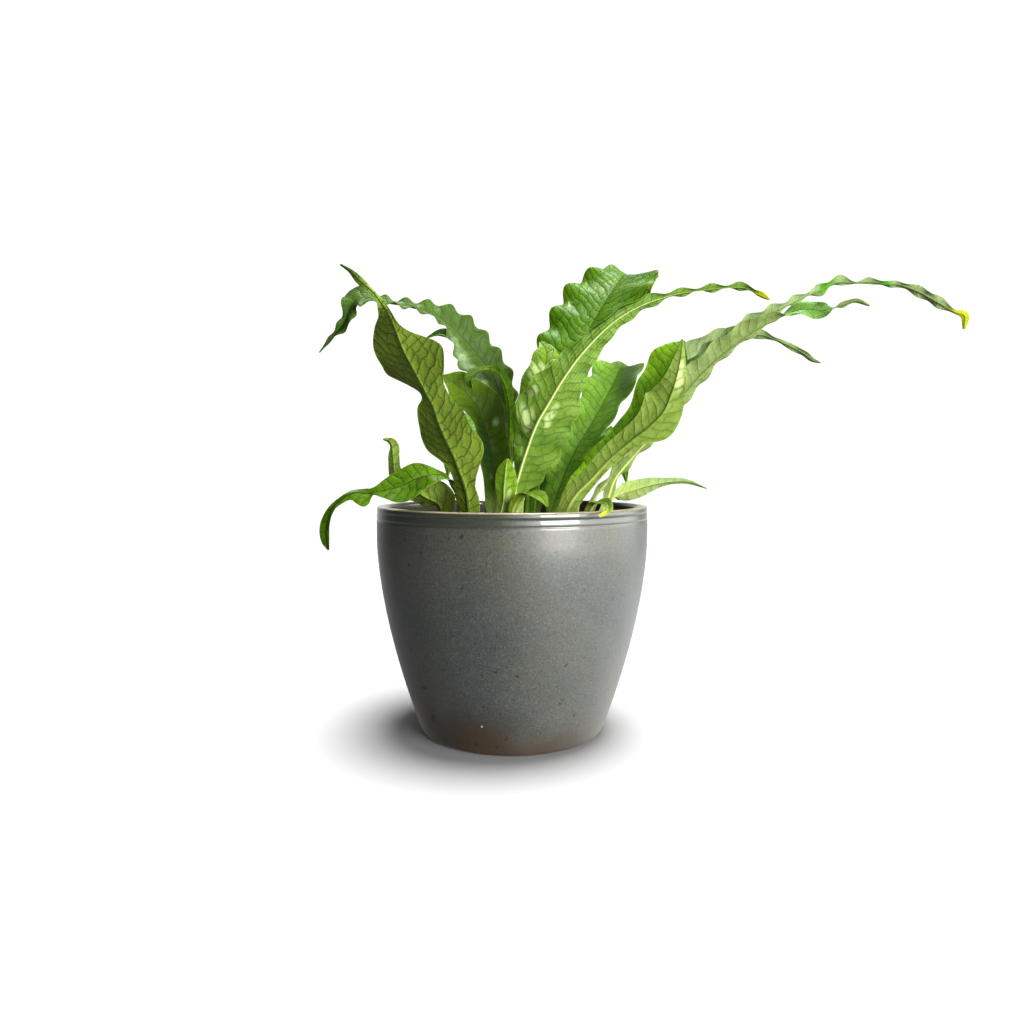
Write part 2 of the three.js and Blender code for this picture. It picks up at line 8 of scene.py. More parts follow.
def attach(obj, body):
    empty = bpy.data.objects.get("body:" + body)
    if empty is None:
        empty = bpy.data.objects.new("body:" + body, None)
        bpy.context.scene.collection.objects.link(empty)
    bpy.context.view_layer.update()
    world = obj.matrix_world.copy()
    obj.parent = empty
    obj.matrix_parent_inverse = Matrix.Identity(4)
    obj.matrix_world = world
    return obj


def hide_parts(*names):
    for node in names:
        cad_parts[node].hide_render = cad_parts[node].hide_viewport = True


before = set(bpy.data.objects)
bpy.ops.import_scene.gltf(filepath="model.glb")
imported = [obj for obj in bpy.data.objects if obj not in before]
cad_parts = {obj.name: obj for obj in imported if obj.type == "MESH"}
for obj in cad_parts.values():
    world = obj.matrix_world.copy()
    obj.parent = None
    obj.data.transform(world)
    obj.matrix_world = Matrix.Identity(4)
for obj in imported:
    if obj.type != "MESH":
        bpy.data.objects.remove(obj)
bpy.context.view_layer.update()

# Lengths below are in millimetres unless a name says otherwise. Meshes are made in metres.
MM = 0.001
SEED = 11

# Camera, fitted to the rim and the base of the pot: its place in metres, and its lens for a square picture
CAMERA_PLACE = (0, -0.5388, 0.1864)
CAMERA_PITCH = 0.061
LENS = 26.63
SENSOR = 36

# Pot
POT_RADIUS = 95
POT_HEIGHT = 158.5
BASE_RADIUS = 64.6
BASE_ROUND = 3
WALL = 8
FLOOR = 10
BELLY_TOP = 136
BELLY_POWER = 1.65
COLLAR_FOOT = 150
# The collar with its two ridges and the lip: how far in from the pot's radius, how far up from its foot
COLLAR = [(0, -1.6), (0.1, -0.8), (0.3, -0.3), (0.3, 0.1), (0.08, 0.5), (0, 0.9), (0.09, 2), (0.19, 3.1),
          (0.28, 4), (0.4, 4.3), (0.55, 4.6), (0.35, 4.9), (0.14, 5.2), (0.22, 6.2), (0.32, 7.2), (0.42, 7.9),
          (0.8, 8.2), (1.6, 8.4), (2.6, 8.5), (3.8, 8.5), (5.4, 8.5)]
POT_SIDES = 240

# Soil and rhizome. GAP is the clearance between the soil and the pot
GAP = 0.3
SOIL_TOP = 134
SOIL_BUMP = 1.7
RHIZOME_RADIUS = 6.5
RHIZOME_SIDES = 28
SCALES_PER_BRANCH = 150
ROOT_Z = 134

# Light of the room. A way is given as azimuth to the right of the viewer and elevation, in degrees.
# The table's light is its strength at the left and at the right. Only the camera sees SKY_SEEN.
SIDE_LIGHT_FROM = (62, 0)
SIDE_LIGHT = 5.4
BACK_LIGHT = 0.8
CEILING_LIGHT = 0.2
TABLE_LIGHT = (0.22, 1.9)
ROOM_LIGHT = 0.07
SKY_SEEN = 1.12
# Suns as strength, azimuth, elevation and angular size in degrees. Distances of the stage are in metres.
TOP_SUN = (6.1, 138, 78.5, 20)
FLOOR_SUN = (9.6, 114, 82.2, 29)
SUN_DISTANCE = 3
# The softbox as strength, azimuth, elevation and distance, then its width and height in metres
SOFTBOX = (30, 38, 8, 1.5)
SOFTBOX_SIZE = (0.84, 0.44)
FLOOR_HALF = 20
FLOOR_SHADE = 0.32

# Blades
BLADE_HALF = 0.26
STIPE_HALF = 2.2
STIPE_LENGTH = 14
STIPE_FLARE = 0.45
STIPE_THICK = 1.3
STIPE_ENDS = 45
CHANNEL = 0.2
SWEEP = 0.2
LOBE = 0.07
LOBE_LEAD = 1.2
LOBE_FROM = 3
LOBE_FULL = 11
MARGINS_APART = 2.1
RUFFLE_SHARE = 0.45
THINNEST_HALF = 0.5
GROW_IN = 60
FADE_OUT = 20
LENGTH_SAMPLES = 60
GOLDEN_ANGLE = 2.399963
ROW_STEP = 1.1
COLUMN_STEP = 1.1
RIB_COLUMNS = 5
RIB_THIN = 0.45
RIB_SWELL = 1.2
RIB_HEIGHT = 1.2
RIB_GROOVE = 0.3
QUILT = 0.34

# Vein net, in mm along and across the blade
VEIN_PITCH = 6.8
VEIN_SWEEP = 0.3
CELL = 7.6

BRANCHES = {
    "front": [[-42, -14], [-18, -27], [6, -27], [30, -31], [58, -36]],
    "middle": [[-54, -6], [-26, -2], [0, -4], [28, -2], [68, 2]],
    "back": [[-28, 24], [-4, 22], [18, 24], [40, 20], [58, 14]],
    "cross": [[2, 23], [-4, 8], [-2, -6], [6, -28]],
}

# Each station of a midrib is x, y, z, half width on the left, half width on the right, roll in degrees.
FRONDS = [
    dict(name="left_arch", lean=180, branch="back", root_x=-4, ruffle=(2.2, 14), stations=[
        [-2, 20, 183, 4, 4, -50], [-6, 20, 218, 11, 11, -56], [-12, 19, 247, 15, 14, -60],
        [-25, 17, 267, 21, 15, -60], [-39, 12, 282, 11, 15, -54], [-53, 8, 292, 3.5, 12, -46],
        [-70, 3, 298, 5, 7, -36], [-87, -3, 300, 6.5, 6, -32], [-104, -7, 302, 11, 12.5, -46],
        [-109, -8, 299, 8, 9, -62], [-113, -8, 293, 7, 4.5, -70], [-116.5, -8, 285, 6, 3.5, -70],
        [-123, -7, 277, 2.6, 3, -60], [-134, -6, 265, 0.6, 0.6, -50]]),
    dict(name="left_front", lean=235, branch="front", root_x=-28, ruffle=(1.2, 40), stations=[
        [-29, -36, 160, 8, 11, 10], [-31, -39, 172, 8, 9, 9], [-35, -43, 184, 16, 8, 8],
        [-38, -46, 193, 22, 20, 5], [-43, -49, 204, 22, 24.5, 2], [-47, -51, 214, 19, 21, 0],
        [-50, -54, 224, 13, 14, -2], [-54, -56, 232, 16, 8, -3], [-58, -59, 240, 24, 33, -2],
        [-62, -62, 248, 25, 33, 0], [-67, -66, 258, 15, 27, 2], [-71, -69, 269, 5, 20, 4],
        [-75, -72, 279, 2.5, 9, 12], [-80, -74, 286, 2, 2, 40], [-85, -74, 292, 1.6, 1.6, 55],
        [-92, -74, 298, 2.4, 2.4, 40], [-98, -73, 304, 1.4, 1.4, 25], [-104, -72, 308, 0.6, 0.6, 20]]),
    dict(name="left_low", lean=185, branch="middle", root_x=-40, ruffle=(1, 44), stations=[
        [-35, -16, 161, 7, 7, 40], [-40, -23, 174, 7, 7, 15], [-47, -30, 180, 7, 3, -35],
        [-60, -37, 179, 11, 11, -58], [-73, -39, 173, 13, 11, -58], [-84, -39, 170, 7, 7, -50],
        [-91, -38, 169, 3, 3, -50], [-95, -37, 168, 11, 3, -62], [-106, -37, 168, 5, 2.2, -55],
        [-114.5, -36, 163, 5, 3.5, -42], [-120.5, -35, 156, 5.5, 4.5, -42], [-124.5, -34, 145, 5.5, 4.5, -45],
        [-124.5, -34, 136, 4.5, 4, -45], [-123, -33, 130, 1, 1, -45]]),
    dict(name="left_curl", lean=170, branch="middle", root_x=-50, ruffle=(0.8, 30), flare=1.6, stations=[
        [-50, -6, 157, 19, 12, 40], [-60, -7, 164, 20, 16, 48], [-71, -8, 171, 12, 14, 55],
        [-81, -8, 180, 7, 10, 60], [-83, -7, 191, 5.5, 7, 60], [-84, -5, 200, 5, 3.5, 60],
        [-87, -3, 204, 2.4, 2.4, 60], [-91, -2, 205, 0.6, 0.6, 60]]),
    dict(name="left_dark", lean=185, branch="middle", root_x=-18, ruffle=(1.6, 34), stations=[
        [-13, 1, 170, 9, 6, -60], [-14, 1, 190, 13, 13, -62], [-18, 1, 211, 10, 16, -62],
        [-26, 0, 230, 13, 17, -60], [-38, -3, 242, 14, 12, -55], [-49, -6, 249, 1, 1, -50]]),
    dict(name="left_back", lean=180, branch="back", root_x=-18, ruffle=(1.2, 26), stations=[
        [-8, 34, 183, 4, 4, -50], [-10, 36, 218, 9, 9, -50], [-20, 37, 246, 9, 11, -52],
        [-34, 37, 269, 6, 9, -52], [-45, 36, 281, 3, 6, -50], [-54, 35, 285, 2.5, 4, -50],
        [-65, 34, 281, 0.6, 0.6, -50]]),
    dict(name="left_curled_tip", lean=180, branch="middle", root_x=-4, ruffle=(0.4, 30), stations=[
        [-2, 9, 194, 3, 3, 40], [-2, 9, 228, 4, 4, 40], [-6, 4, 247, 8, 8, 20],
        [-14, -3, 254, 9, 9, 0], [-23, -9, 252, 8, 8, -25], [-29, -14, 245, 4, 4, -45],
        [-27, -18, 239, 0.8, 0.8, -50]]),
    dict(name="centre_front", lean=-25, branch="front", root_x=5, ruffle=(1.6, 20), stations=[
        [2, -31, 166, 7, 4, -75], [5, -36, 181, 17, 4, -78], [10, -41, 197, 21, 5, -78],
        [16, -46, 213, 22, 17, -76], [24, -49, 227, 19, 18, -72], [33, -52, 242, 14, 12, -66],
        [45, -54, 258, 10, 8, -60], [62, -56, 275, 7, 5, -48], [81, -55, 287, 6, 5, -32],
        [104, -52, 295, 4, 3, -18], [128, -48, 299, 3.5, 3.5, -14], [148, -44, 301, 3.5, 3, -20],
        [159, -41, 297.5, 3, 3, -30], [167, -40, 294, 0.8, 0.8, -50]]),
    dict(name="centre_lime", lean=100, branch="middle", root_x=-11, ruffle=(1.5, 24), stations=[
        [4, -12, 170, 4, 5, 0], [7, -14, 194, 6, 9, 0], [11, -14, 216, 12, 13, 0],
        [18, -12, 238, 13, 14, 0], [23, -8, 255, 11, 12, 0], [24, -2, 266, 7, 7, 0],
        [20, 4, 274, 1, 1, 0]]),
    dict(name="centre_tall", lean=58, branch="middle", root_x=12, ruffle=(3.2, 26), stations=[
        [15, 8, 183, 7, 9, 0], [28, 16, 226, 19, 14, 5], [46, 26, 266, 30, 16, 8],
        [60, 36, 292, 32, 21, 8], [71, 46, 311, 31.5, 30, 9], [81, 57, 326, 25, 29, 12],
        [88, 68, 336, 19, 24, 20], [96, 84, 338, 13, 20, 14], [103, 100, 331, 7, 12, 10],
        [108, 112, 320, 1, 1, 0]]),
    dict(name="centre_back", lean=55, branch="back", root_x=24, ruffle=(2.2, 24), stations=[
        [36, 24, 172, 12, 10, 15], [47, 27, 197, 16, 11, 18], [59, 33, 217, 17, 14, 18],
        [69, 40, 234, 19, 15.5, 16], [78, 49, 250, 20, 19, 12], [85, 60, 262, 17, 17, 12],
        [93, 73, 265, 10, 7, 16], [101, 84, 263, 0.8, 0.8, 16]]),
    dict(name="right_front", lean=-35, branch="front", root_x=27, ruffle=(0.8, 40), stations=[
        [40, -35, 163, 6, 7.5, -60], [53, -40, 178, 4, 8.5, -62], [64, -45, 191, 5, 8, -64],
        [77, -50, 203, 6, 9, -66], [88, -54, 212, 13, 12, -66], [96, -57, 221, 12, 15, -66],
        [100, -58, 231, 9, 11, -66], [103, -60, 241, 6, 7, -62], [105, -61, 253, 3.5, 4, -56],
        [106, -62, 265, 0.6, 0.6, -50]]),
    dict(name="right_broad", lean=30, branch="middle", root_x=32, ruffle=(1.4, 30), stations=[
        [43, -2, 167, 6, 7, 44], [57, 1, 185, 8, 9, 48], [72, 5, 203, 7, 12, 52],
        [87, 10, 220, 7, 14, 54], [101, 14, 238, 13, 16, 54], [112, 18, 255, 15, 13, 50],
        [120, 22, 269.5, 10, 8, 45], [127, 25, 278, 0.8, 0.8, 40]]),
    dict(name="right_long", lean=0, branch="middle", root_x=50, ruffle=(1.9, 17), stations=[
        [58, 1, 162, 3.5, 3.5, -40], [73, -2, 181, 4, 4, -45], [88, -5, 201, 5, 5, -48],
        [102, -8, 219, 8, 8, -50], [117, -9, 239, 12, 10, -52], [132, -10, 257, 10.5, 10, -52],
        [147, -10, 271, 8, 7.5, -50], [165, -10, 284, 8, 7, -44], [184, -10, 294, 6, 5, -36],
        [200, -10, 302, 3.5, 3.5, -32], [212, -10, 307, 5.5, 4, -40], [223, -10, 312, 3, 4.5, -40],
        [236, -10, 311.5, 1.6, 1.6, -30], [245, -11, 312, 1.6, 3, -35], [257, -12, 310.5, 3, 2, -35],
        [265, -12, 310, 2.5, 2.5, -35], [278, -14, 304.5, 3.5, 3.5, -40], [290, -16, 297, 3.5, 3.5, -42],
        [300, -17, 291, 1.6, 1.6, -45], [307, -18, 288, 2.6, 2.6, -60], [307, -18, 279, 1, 1, -60]]),
    dict(name="right_fork", lean=-8, branch="front", root_x=52, ruffle=(1.8, 20), stations=[
        [65, -21, 163, 5, 4, -40], [70.5, -21, 178, 4.5, 5, -45], [85, -23, 196, 5, 5.5, -48],
        [99, -25, 212, 7, 5.5, -50], [111, -26, 229, 7.5, 8, -52], [124, -28, 245, 7, 10, -54],
        [136, -30, 257, 4, 10, -54], [151, -32, 269, 3.5, 10, -50], [166, -34, 279, 4, 8, -40],
        [181, -35, 286, 3, 3.5, 30], [191, -36, 288.5, 6, 7.5, 72], [203, -37, 287.5, 4.5, 4.5, 75],
        [210, -38, 289, 1.5, 1.5, 20], [215, -39, 291, 3, 2.5, -35], [223, -40, 293, 2, 2, -40],
        [232, -40, 290, 0.6, 0.6, -40]]),
    dict(name="right_behind", lean=8, branch="back", root_x=46, ruffle=(1.6, 26), stations=[
        [52, 20, 169, 4, 4, -40], [73, 25, 190, 6, 6, -45], [95, 32, 217, 9, 9, -48],
        [117, 39, 244, 13, 13, -50], [137, 44, 267, 13, 14, -48], [154, 46, 280, 12, 10, -44],
        [173, 46, 286, 8, 5, -38], [189, 45, 286, 4, 4, -34], [199, 44, 282.5, 2.5, 2.5, -32],
        [210, 43, 277.5, 2.5, 2, -32], [221, 42, 271.5, 3, 3, -34], [227, 41, 266.5, 2, 2, -36],
        [233, 39, 264, 0.6, 0.6, -40]]),
    dict(name="right_low", lean=5, branch="middle", root_x=63, ruffle=(0.5, 40), stations=[
        [71, 5, 161, 4, 4, -30], [79, 7, 167, 12, 7, -46], [88, 9, 169, 13.5, 8, -48],
        [99, 10, 172, 9, 7, -48], [109, 11, 174, 5.5, 4.5, -48], [119, 11, 175, 3.4, 3, -46],
        [129, 11, 174.5, 2.4, 1.6, -44], [141, 10, 170, 0.6, 0.6, -40]]),
    dict(name="young_left", lean=250, branch="front", root_x=-14, ruffle=(0.4, 20), stations=[
        [-6, -43, 160, 6, 5, 0], [-5, -45, 173, 8, 7, 0], [-4, -46, 184, 6, 6, 0],
        [-3, -46, 191, 0.8, 0.8, 0]]),
    dict(name="young_front", lean=-30, branch="front", root_x=-4, ruffle=(0.4, 20), stations=[
        [0, -46, 156, 3, 3, -40], [4, -54, 165, 4, 4, -25], [11, -60, 169, 4.5, 4.5, 15],
        [18, -65, 167, 4, 4, 35], [22, -69, 161, 0.8, 0.8, 40]]),
    dict(name="young_rim", lean=-80, branch="front", root_x=42, ruffle=(0.4, 20), stations=[
        [50, -52, 157, 4, 4, 10], [53, -59, 163, 4, 4, 20], [57, -66, 164, 3.5, 3.5, 30],
        [59, -75, 163, 2.6, 2.6, 25], [58, -83, 159, 2.4, 2.4, 10], [52, -88, 156, 0.8, 0.8, 0]]),
    dict(name="back_left", lean=112, branch="back", root_x=-25, ruffle=(2.2, 24), stations=[
        [-38, 46, 178, 6, 6, 0], [-37, 73, 214, 14, 14, 0], [-42, 106, 230, 16, 16, 5],
        [-50, 142, 224, 14, 14, 10], [-58, 172, 203, 9, 9, 10], [-62, 192, 176, 0.8, 0.8, 10]]),
    dict(name="back_middle", lean=82, branch="back", root_x=14, ruffle=(2.4, 26), stations=[
        [24, 46, 182, 6, 6, 0], [26, 77, 228, 15, 15, -5], [29, 116, 250, 18, 18, -5],
        [32, 158, 240, 15, 15, 0], [35, 192, 212, 9, 9, 5], [37, 212, 180, 0.8, 0.8, 5]]),
    dict(name="back_right", lean=62, branch="back", root_x=35, ruffle=(1.8, 24), stations=[
        [48, 44, 172, 6, 6, 0], [60, 73, 202, 13, 13, -5], [74, 108, 214, 15, 15, -8],
        [90, 144, 208, 13, 13, -5], [102, 171, 192, 8, 8, 0], [110, 190, 170, 0.8, 0.8, 0]]),
]


def srgb(red, green, blue):
    """A colour given in 0 to 255 as linear light with alpha."""
    out = []
    for value in (red, green, blue):
        value /= 255
        out.append(value / 12.92 if value <= 0.04045 else ((value + 0.055) / 1.055) ** 2.4)
    return (*out, 1)


# What each kind of blade looks like: its two faces as middle, light and vein colour, its rib at the foot and
# at the tip, the shares of the length between which the rib turns, its veins' strength, roughness and shine
LOOKS = {
    "fresh": dict(
        upper=((60, 122, 12), (100, 158, 18), (14, 56, 8)),
        under=((96, 136, 30), (124, 160, 40), (52, 92, 20)),
        rib=((136, 166, 62), (48, 92, 20)), rib_turn=(0.2, 0.6), veins=1, gloss=0.34, shine=0.1),
    "deep": dict(
        upper=((38, 84, 12), (66, 114, 18), (12, 40, 8)),
        under=((46, 76, 17), (64, 94, 21), (24, 46, 10)),
        rib=((136, 156, 84), (20, 52, 11)), rib_turn=(0.3, 0.7), veins=0.6, gloss=0.3, shine=0.08),
    "olive": dict(
        upper=((58, 104, 23), (82, 130, 29), (28, 62, 14)),
        under=((88, 110, 24), (110, 132, 29), (32, 52, 10)),
        rib=((92, 116, 26), (34, 54, 10)), rib_turn=(0.05, 0.25), veins=1, gloss=0.42, shine=0.12),
    "lime": dict(
        upper=((98, 150, 33), (136, 180, 40), (56, 104, 23)),
        under=((94, 142, 31), (134, 176, 39), (54, 100, 22)),
        rib=((190, 200, 130), (120, 140, 70)), rib_turn=(0.5, 0.8), veins=0.85, gloss=0.3, shine=0.15),
    "pale": dict(
        upper=((80, 140, 31), (112, 164, 36), (40, 88, 19)),
        under=((114, 144, 36), (150, 176, 72), (74, 108, 24)),
        rib=((168, 182, 92), (64, 96, 21)), rib_turn=(0.25, 0.6), veins=0.8, gloss=0.4, shine=0.12),
    "grey": dict(
        upper=((58, 124, 27), (94, 158, 35), (26, 78, 17)),
        under=((112, 138, 62), (142, 162, 96), (80, 110, 36)),
        rib=((176, 190, 100), (84, 112, 40)), rib_turn=(0.2, 0.5), veins=0.45, gloss=0.4, shine=0.2),
}
# Paints of the marks. Sheen is a painted sheen, pale mostly a painted highlight that in places stands for
# pale spots, dark in part a painted shade.
MARK_PAINT = {
    "yellow": srgb(170, 178, 20), "brown": srgb(104, 82, 20), "pale": srgb(190, 206, 140),
    "sheen": srgb(138, 160, 116), "green": srgb(70, 132, 10), "dark": srgb(30, 58, 10),
}
THIN_MARGIN = srgb(150, 170, 70)
BLOOM = srgb(132, 150, 118)
YELLOWED = srgb(150, 158, 20)
# Each frond's look, and how it differs from others of that look: brightness above and below, share of grey
# bloom, share of yellow. The brightness is painted light and shade: it makes lit and shaded copies of a look,
# each frond's faces brighter or darker for the light they are seen in.
SKINS = {
    "left_arch": ("deep", 0.65, 1.2, 0.1, 0.1),
    "left_front": ("olive", 1, 1.3, 0.05, 0),
    "left_low": ("fresh", 0.5, 0.9, 0, 0.15),
    "left_curl": ("olive", 1, 2.6, 0.1, 0),
    "left_dark": ("deep", 0.55, 0.6, 0, 0.2),
    "left_back": ("deep", 1, 1, 0, 0),
    "left_curled_tip": ("fresh", 0.4, 2.2, 0.05, 0.2),
    "centre_front": ("lime", 0.9, 0.65, 0.1, 0.05),
    "centre_lime": ("lime", 0.65, 0.8, 0, 0.1),
    "centre_tall": ("fresh", 0.6, 1, 0, 0.1),
    "centre_back": ("fresh", 2, 1, 0.15, 0.15),
    "right_front": ("pale", 0.9, 0.75, 0.1, 0.05),
    "right_broad": ("fresh", 1.2, 0.9, 0, 0.2),
    "right_long": ("grey", 0.9, 1, 0.3, 0),
    "right_fork": ("grey", 0.75, 0.7, 0.1, 0.1),
    "right_behind": ("grey", 0.9, 1.1, 0.3, 0),
    "right_low": ("pale", 0.9, 1.2, 0.5, 0),
    "young_left": ("lime", 0.9, 0.95, 0, 0.1),
    "young_front": ("lime", 0.55, 0.9, 0, 0.2),
    "young_rim": ("lime", 0.6, 0.6, 0.1, 0.2),
    "back_left": ("fresh", 1, 1, 0, 0),
    "back_middle": ("deep", 1, 1, 0, 0),
    "back_right": ("fresh", 1, 1, 0, 0),
}
# Marks on a frond: kind, place along it from 0 to 1, place across it from -1 to 1, their two radii, strength.
# Sheen marks are painted sheen, pale marks mostly painted highlights, dark marks in part painted shade, and
# the furrows between the pleats of ridge marks are darkened as painted shade.
MARKS = {
    "left_front": [("brown", 0.6, -0.8, 0.07, 0.3, 0.4), ("yellow", 0.5, -1, 0.3, 0.12, 0.4),
                   ("ridge", 0.34, -0.6, 0.12, 0.5, 0.7), ("dark", 0.95, 0, 0.14, 2, 0.5)],
    # Sheen marks on left_arch, left_low and centre_back paint the grey sheen of the lamps on their faces.
    "left_arch": [("ridge", 0.5, 0.6, 0.2, 0.5, 0.7), ("sheen", 0.48, 0.7, 0.16, 0.4, 0.5),
                  ("ridge", 0.8, 0, 0.1, 2, 0.6), ("dark", 0.9, 0.3, 0.08, 0.6, 0.7)],
    "left_low": [("dark", 0.78, 0, 0.12, 0.6, 0.5), ("sheen", 0.72, -0.6, 0.05, 0.4, 0.5)],
    # left_dark's dark mark paints the shade that falls on its middle, and its sheen marks paint glints.
    "left_dark": [("dark", 0.5, 0.4, 0.3, 0.6, 0.8), ("sheen", 0.35, 0.3, 0.03, 0.2, 0.8),
                  ("sheen", 0.62, -0.5, 0.03, 0.25, 0.6)],
    # centre_front's pale marks paint the highlights on its cells, and its dark mark paints the shade along
    # its shaded edge.
    "centre_front": [("pale", 0.3, -0.5, 0.035, 0.5, 0.7), ("pale", 0.36, -0.75, 0.04, 0.4, 0.5),
                     ("pale", 0.33, 0.25, 0.05, 0.18, 0.7), ("yellow", 1, 0, 0.06, 2, 0.9),
                     ("ridge", 0.62, 0, 0.2, 2, 1), ("dark", 0.6, -0.95, 0.14, 0.3, 0.7)],
    # centre_lime's pale mark paints the highlight on its fold.
    "centre_lime": [("pale", 0.8, 0, 0.07, 1.2, 0.8)],
    "centre_tall": [("ridge", 0.86, -0.5, 0.12, 0.5, 0.8), ("pale", 0.47, 0.75, 0.03, 0.12, 0.6),
                    ("pale", 0.63, 0.8, 0.02, 0.12, 0.6)],
    "centre_back": [("ridge", 0.12, 0, 0.14, 2, 1), ("sheen", 0.8, -0.6, 0.25, 0.5, 0.6)],
    # right_front's pale mark paints its pale tip and the highlight beside it.
    "right_front": [("brown", 0.36, 0.6, 0.04, 0.3, 0.6), ("brown", 0.5, 0.8, 0.05, 0.25, 0.5),
                    ("pale", 0.86, 0.4, 0.09, 0.6, 0.7), ("ridge", 0.16, 0, 0.14, 2, 0.8)],
    "right_broad": [("ridge", 0.15, 0, 0.12, 2, 0.8)],
    "right_long": [("yellow", 1, 0, 0.06, 2, 1), ("ridge", 0.12, 0, 0.12, 2, 1),
                   ("ridge", 0.4, -0.5, 0.1, 0.6, 0.7), ("dark", 0.42, 0.95, 0.14, 0.25, 0.6),
                   ("green", 0.7, 0, 0.02, 2, 0.9), ("green", 0.81, 0, 0.015, 2, 0.9)],
    "right_fork": [("ridge", 0.15, 0, 0.16, 2, 1), ("ridge", 0.5, 0.5, 0.1, 0.6, 0.6)],
    "right_behind": [("ridge", 0.3, 0, 0.16, 2, 0.7)],
    "right_low": [("yellow", 0.4, 0, 0.5, 2, 0.35), ("pale", 0.35, 0.2, 0.12, 0.6, 0.6)],
    "young_rim": [("yellow", 1, 0, 0.14, 2, 0.7)],
    "young_front": [("yellow", 0.6, 0, 0.5, 2, 0.3)],
    "young_left": [("pale", 0.6, 0.4, 0.2, 0.4, 0.6)],
}
MARK_KINDS = ("yellow", "brown", "pale", "sheen", "dark", "green", "ridge")
RIDGE_PITCH = 1.9
RIDGE_HEIGHT = 0.16


class ArrayMath:
    """The functions that the vein net needs, on arrays."""

    sine = staticmethod(np.sin)
    floor = staticmethod(np.floor)
    size = staticmethod(np.abs)
    below = staticmethod(lambda value, limit: (value < limit) * 1)


class Wire:
    """A number in a node tree that arithmetic can be written with."""

    def __init__(self, tree, socket):
        self.tree = tree
        self.socket = socket

    def math(self, operation, *others):
        node = self.tree.nodes.new("ShaderNodeMath")
        node.operation = operation
        for slot, value in enumerate((self, *others)):
            feed(self.tree, value, node.inputs[slot])
        return Wire(self.tree, node.outputs[0])

    def __add__(self, other):
        return self.math("ADD", other)

    def __sub__(self, other):
        return self.math("SUBTRACT", other)

    def __mul__(self, other):
        return self.math("MULTIPLY", other)

    def __truediv__(self, other):
        return self.math("DIVIDE", other)

    def __rsub__(self, other):
        return (self * -1) + other

    def smooth(self, low, high, start=0, end=1):
        node = self.tree.nodes.new("ShaderNodeMapRange")
        node.interpolation_type = "SMOOTHSTEP"
        feed(self.tree, self, node.inputs["Value"])
        for name, value in (("From Min", low), ("From Max", high), ("To Min", start), ("To Max", end)):
            node.inputs[name].default_value = value
        return Wire(self.tree, node.outputs["Result"])


class NodeMath:
    """The same functions, on wires."""

    sine = staticmethod(lambda value: value.math("SINE"))
    floor = staticmethod(lambda value: value.math("FLOOR"))
    size = staticmethod(lambda value: value.math("ABSOLUTE"))
    below = staticmethod(lambda value, limit: value.math("LESS_THAN", limit))


def feed(tree, value, socket):
    if isinstance(value, Wire):
        tree.links.new(value.socket, socket)
    else:
        socket.default_value = value


def vein_net(along, across, m):
    """Distances in mm to the nearest side vein and cross vein, and the numbers of the cell between them."""
    out = m.size(across)
    left = m.below(across, 0)
    sway = m.sine(along * 0.23 + left * 1.7) * 1.1 + m.sine(out * 0.31 + along * 0.07) * 0.9
    place = (along - out * VEIN_SWEEP - out * out * 0.008 + sway) / VEIN_PITCH + left * 0.5
    number = m.floor(place + 0.5)
    wander = m.sine(out * 0.8 + number * 2.3) * 0.42 + m.sine(out * 2.1 + number * 4.1) * 0.14
    side_vein = m.size((place - number) * VEIN_PITCH + wander)
    band = m.floor(place)
    shift = m.sine(band * 2.4 + left * 3 + 1) * 0.45
    across_place = out / CELL + shift + m.sine(along * 1.1 + band) * 0.1
    cell = m.floor(across_place + 0.5)
    cross_vein = m.size(across_place - cell) * CELL
    return side_vein, cross_vein, band, cell


def attribute(tree, name):
    node = tree.nodes.new("ShaderNodeAttribute")
    node.attribute_name = name
    return Wire(tree, node.outputs["Fac"])


def mixed(tree, share, first, second):
    """Colour from first to second by share."""
    node = tree.nodes.new("ShaderNodeMix")
    node.data_type = "RGBA"
    feed(tree, share, node.inputs[0])
    feed(tree, first, node.inputs[6])
    feed(tree, second, node.inputs[7])
    return Wire(tree, node.outputs[2])


def paint(tree, shader, colour, layers):
    """Lays each layer's colour over what is below it, by its share, and makes the result the base colour."""
    for share, over in layers:
        colour = mixed(tree, share, colour, over)
    tree.links.new(colour.socket, shader.inputs["Base Color"])


def object_place(tree):
    node = tree.nodes.new("ShaderNodeTexCoord")
    return node.outputs["Object"]


def grain(tree, scale, detail, roughness=0.5):
    node = tree.nodes.new("ShaderNodeTexNoise")
    node.inputs["Scale"].default_value = scale
    node.inputs["Detail"].default_value = detail
    node.inputs["Roughness"].default_value = roughness
    tree.links.new(object_place(tree), node.inputs["Vector"])
    return Wire(tree, node.outputs["Fac"])


def new_material(name):
    material = bpy.data.materials.new(name)
    material.use_nodes = True
    tree = material.node_tree
    shader = tree.nodes["Principled BSDF"]
    return material, tree, shader


def bump(tree, shader, height, distance):
    """Relief in the shading alone. The distance is in metres."""
    node = tree.nodes.new("ShaderNodeBump")
    node.inputs["Strength"].default_value = 1
    node.inputs["Distance"].default_value = distance
    tree.links.new(height.socket, node.inputs["Height"])
    tree.links.new(node.outputs["Normal"], shader.inputs["Normal"])


def random_of(tree, *values):
    """A number from 0 to 1 that is the same wherever the given numbers are."""
    joined = tree.nodes.new("ShaderNodeCombineXYZ")
    for slot, value in enumerate(values):
        feed(tree, value, joined.inputs[slot])
    node = tree.nodes.new("ShaderNodeTexWhiteNoise")
    tree.links.new(joined.outputs[0], node.inputs["Vector"])
    return Wire(tree, node.outputs["Value"])


def toned(colour, painted_light_and_shade, bloom, yellow):
    """A linear colour made greyer and yellower, then brighter or darker as painted light or shade."""
    out = []
    for value, grey, warm in zip(colour[:3], BLOOM, YELLOWED):
        value = value * (1 - bloom - yellow) + grey * bloom + warm * yellow
        out.append(min(0.9, value * painted_light_and_shade))
    return (*out, 1)


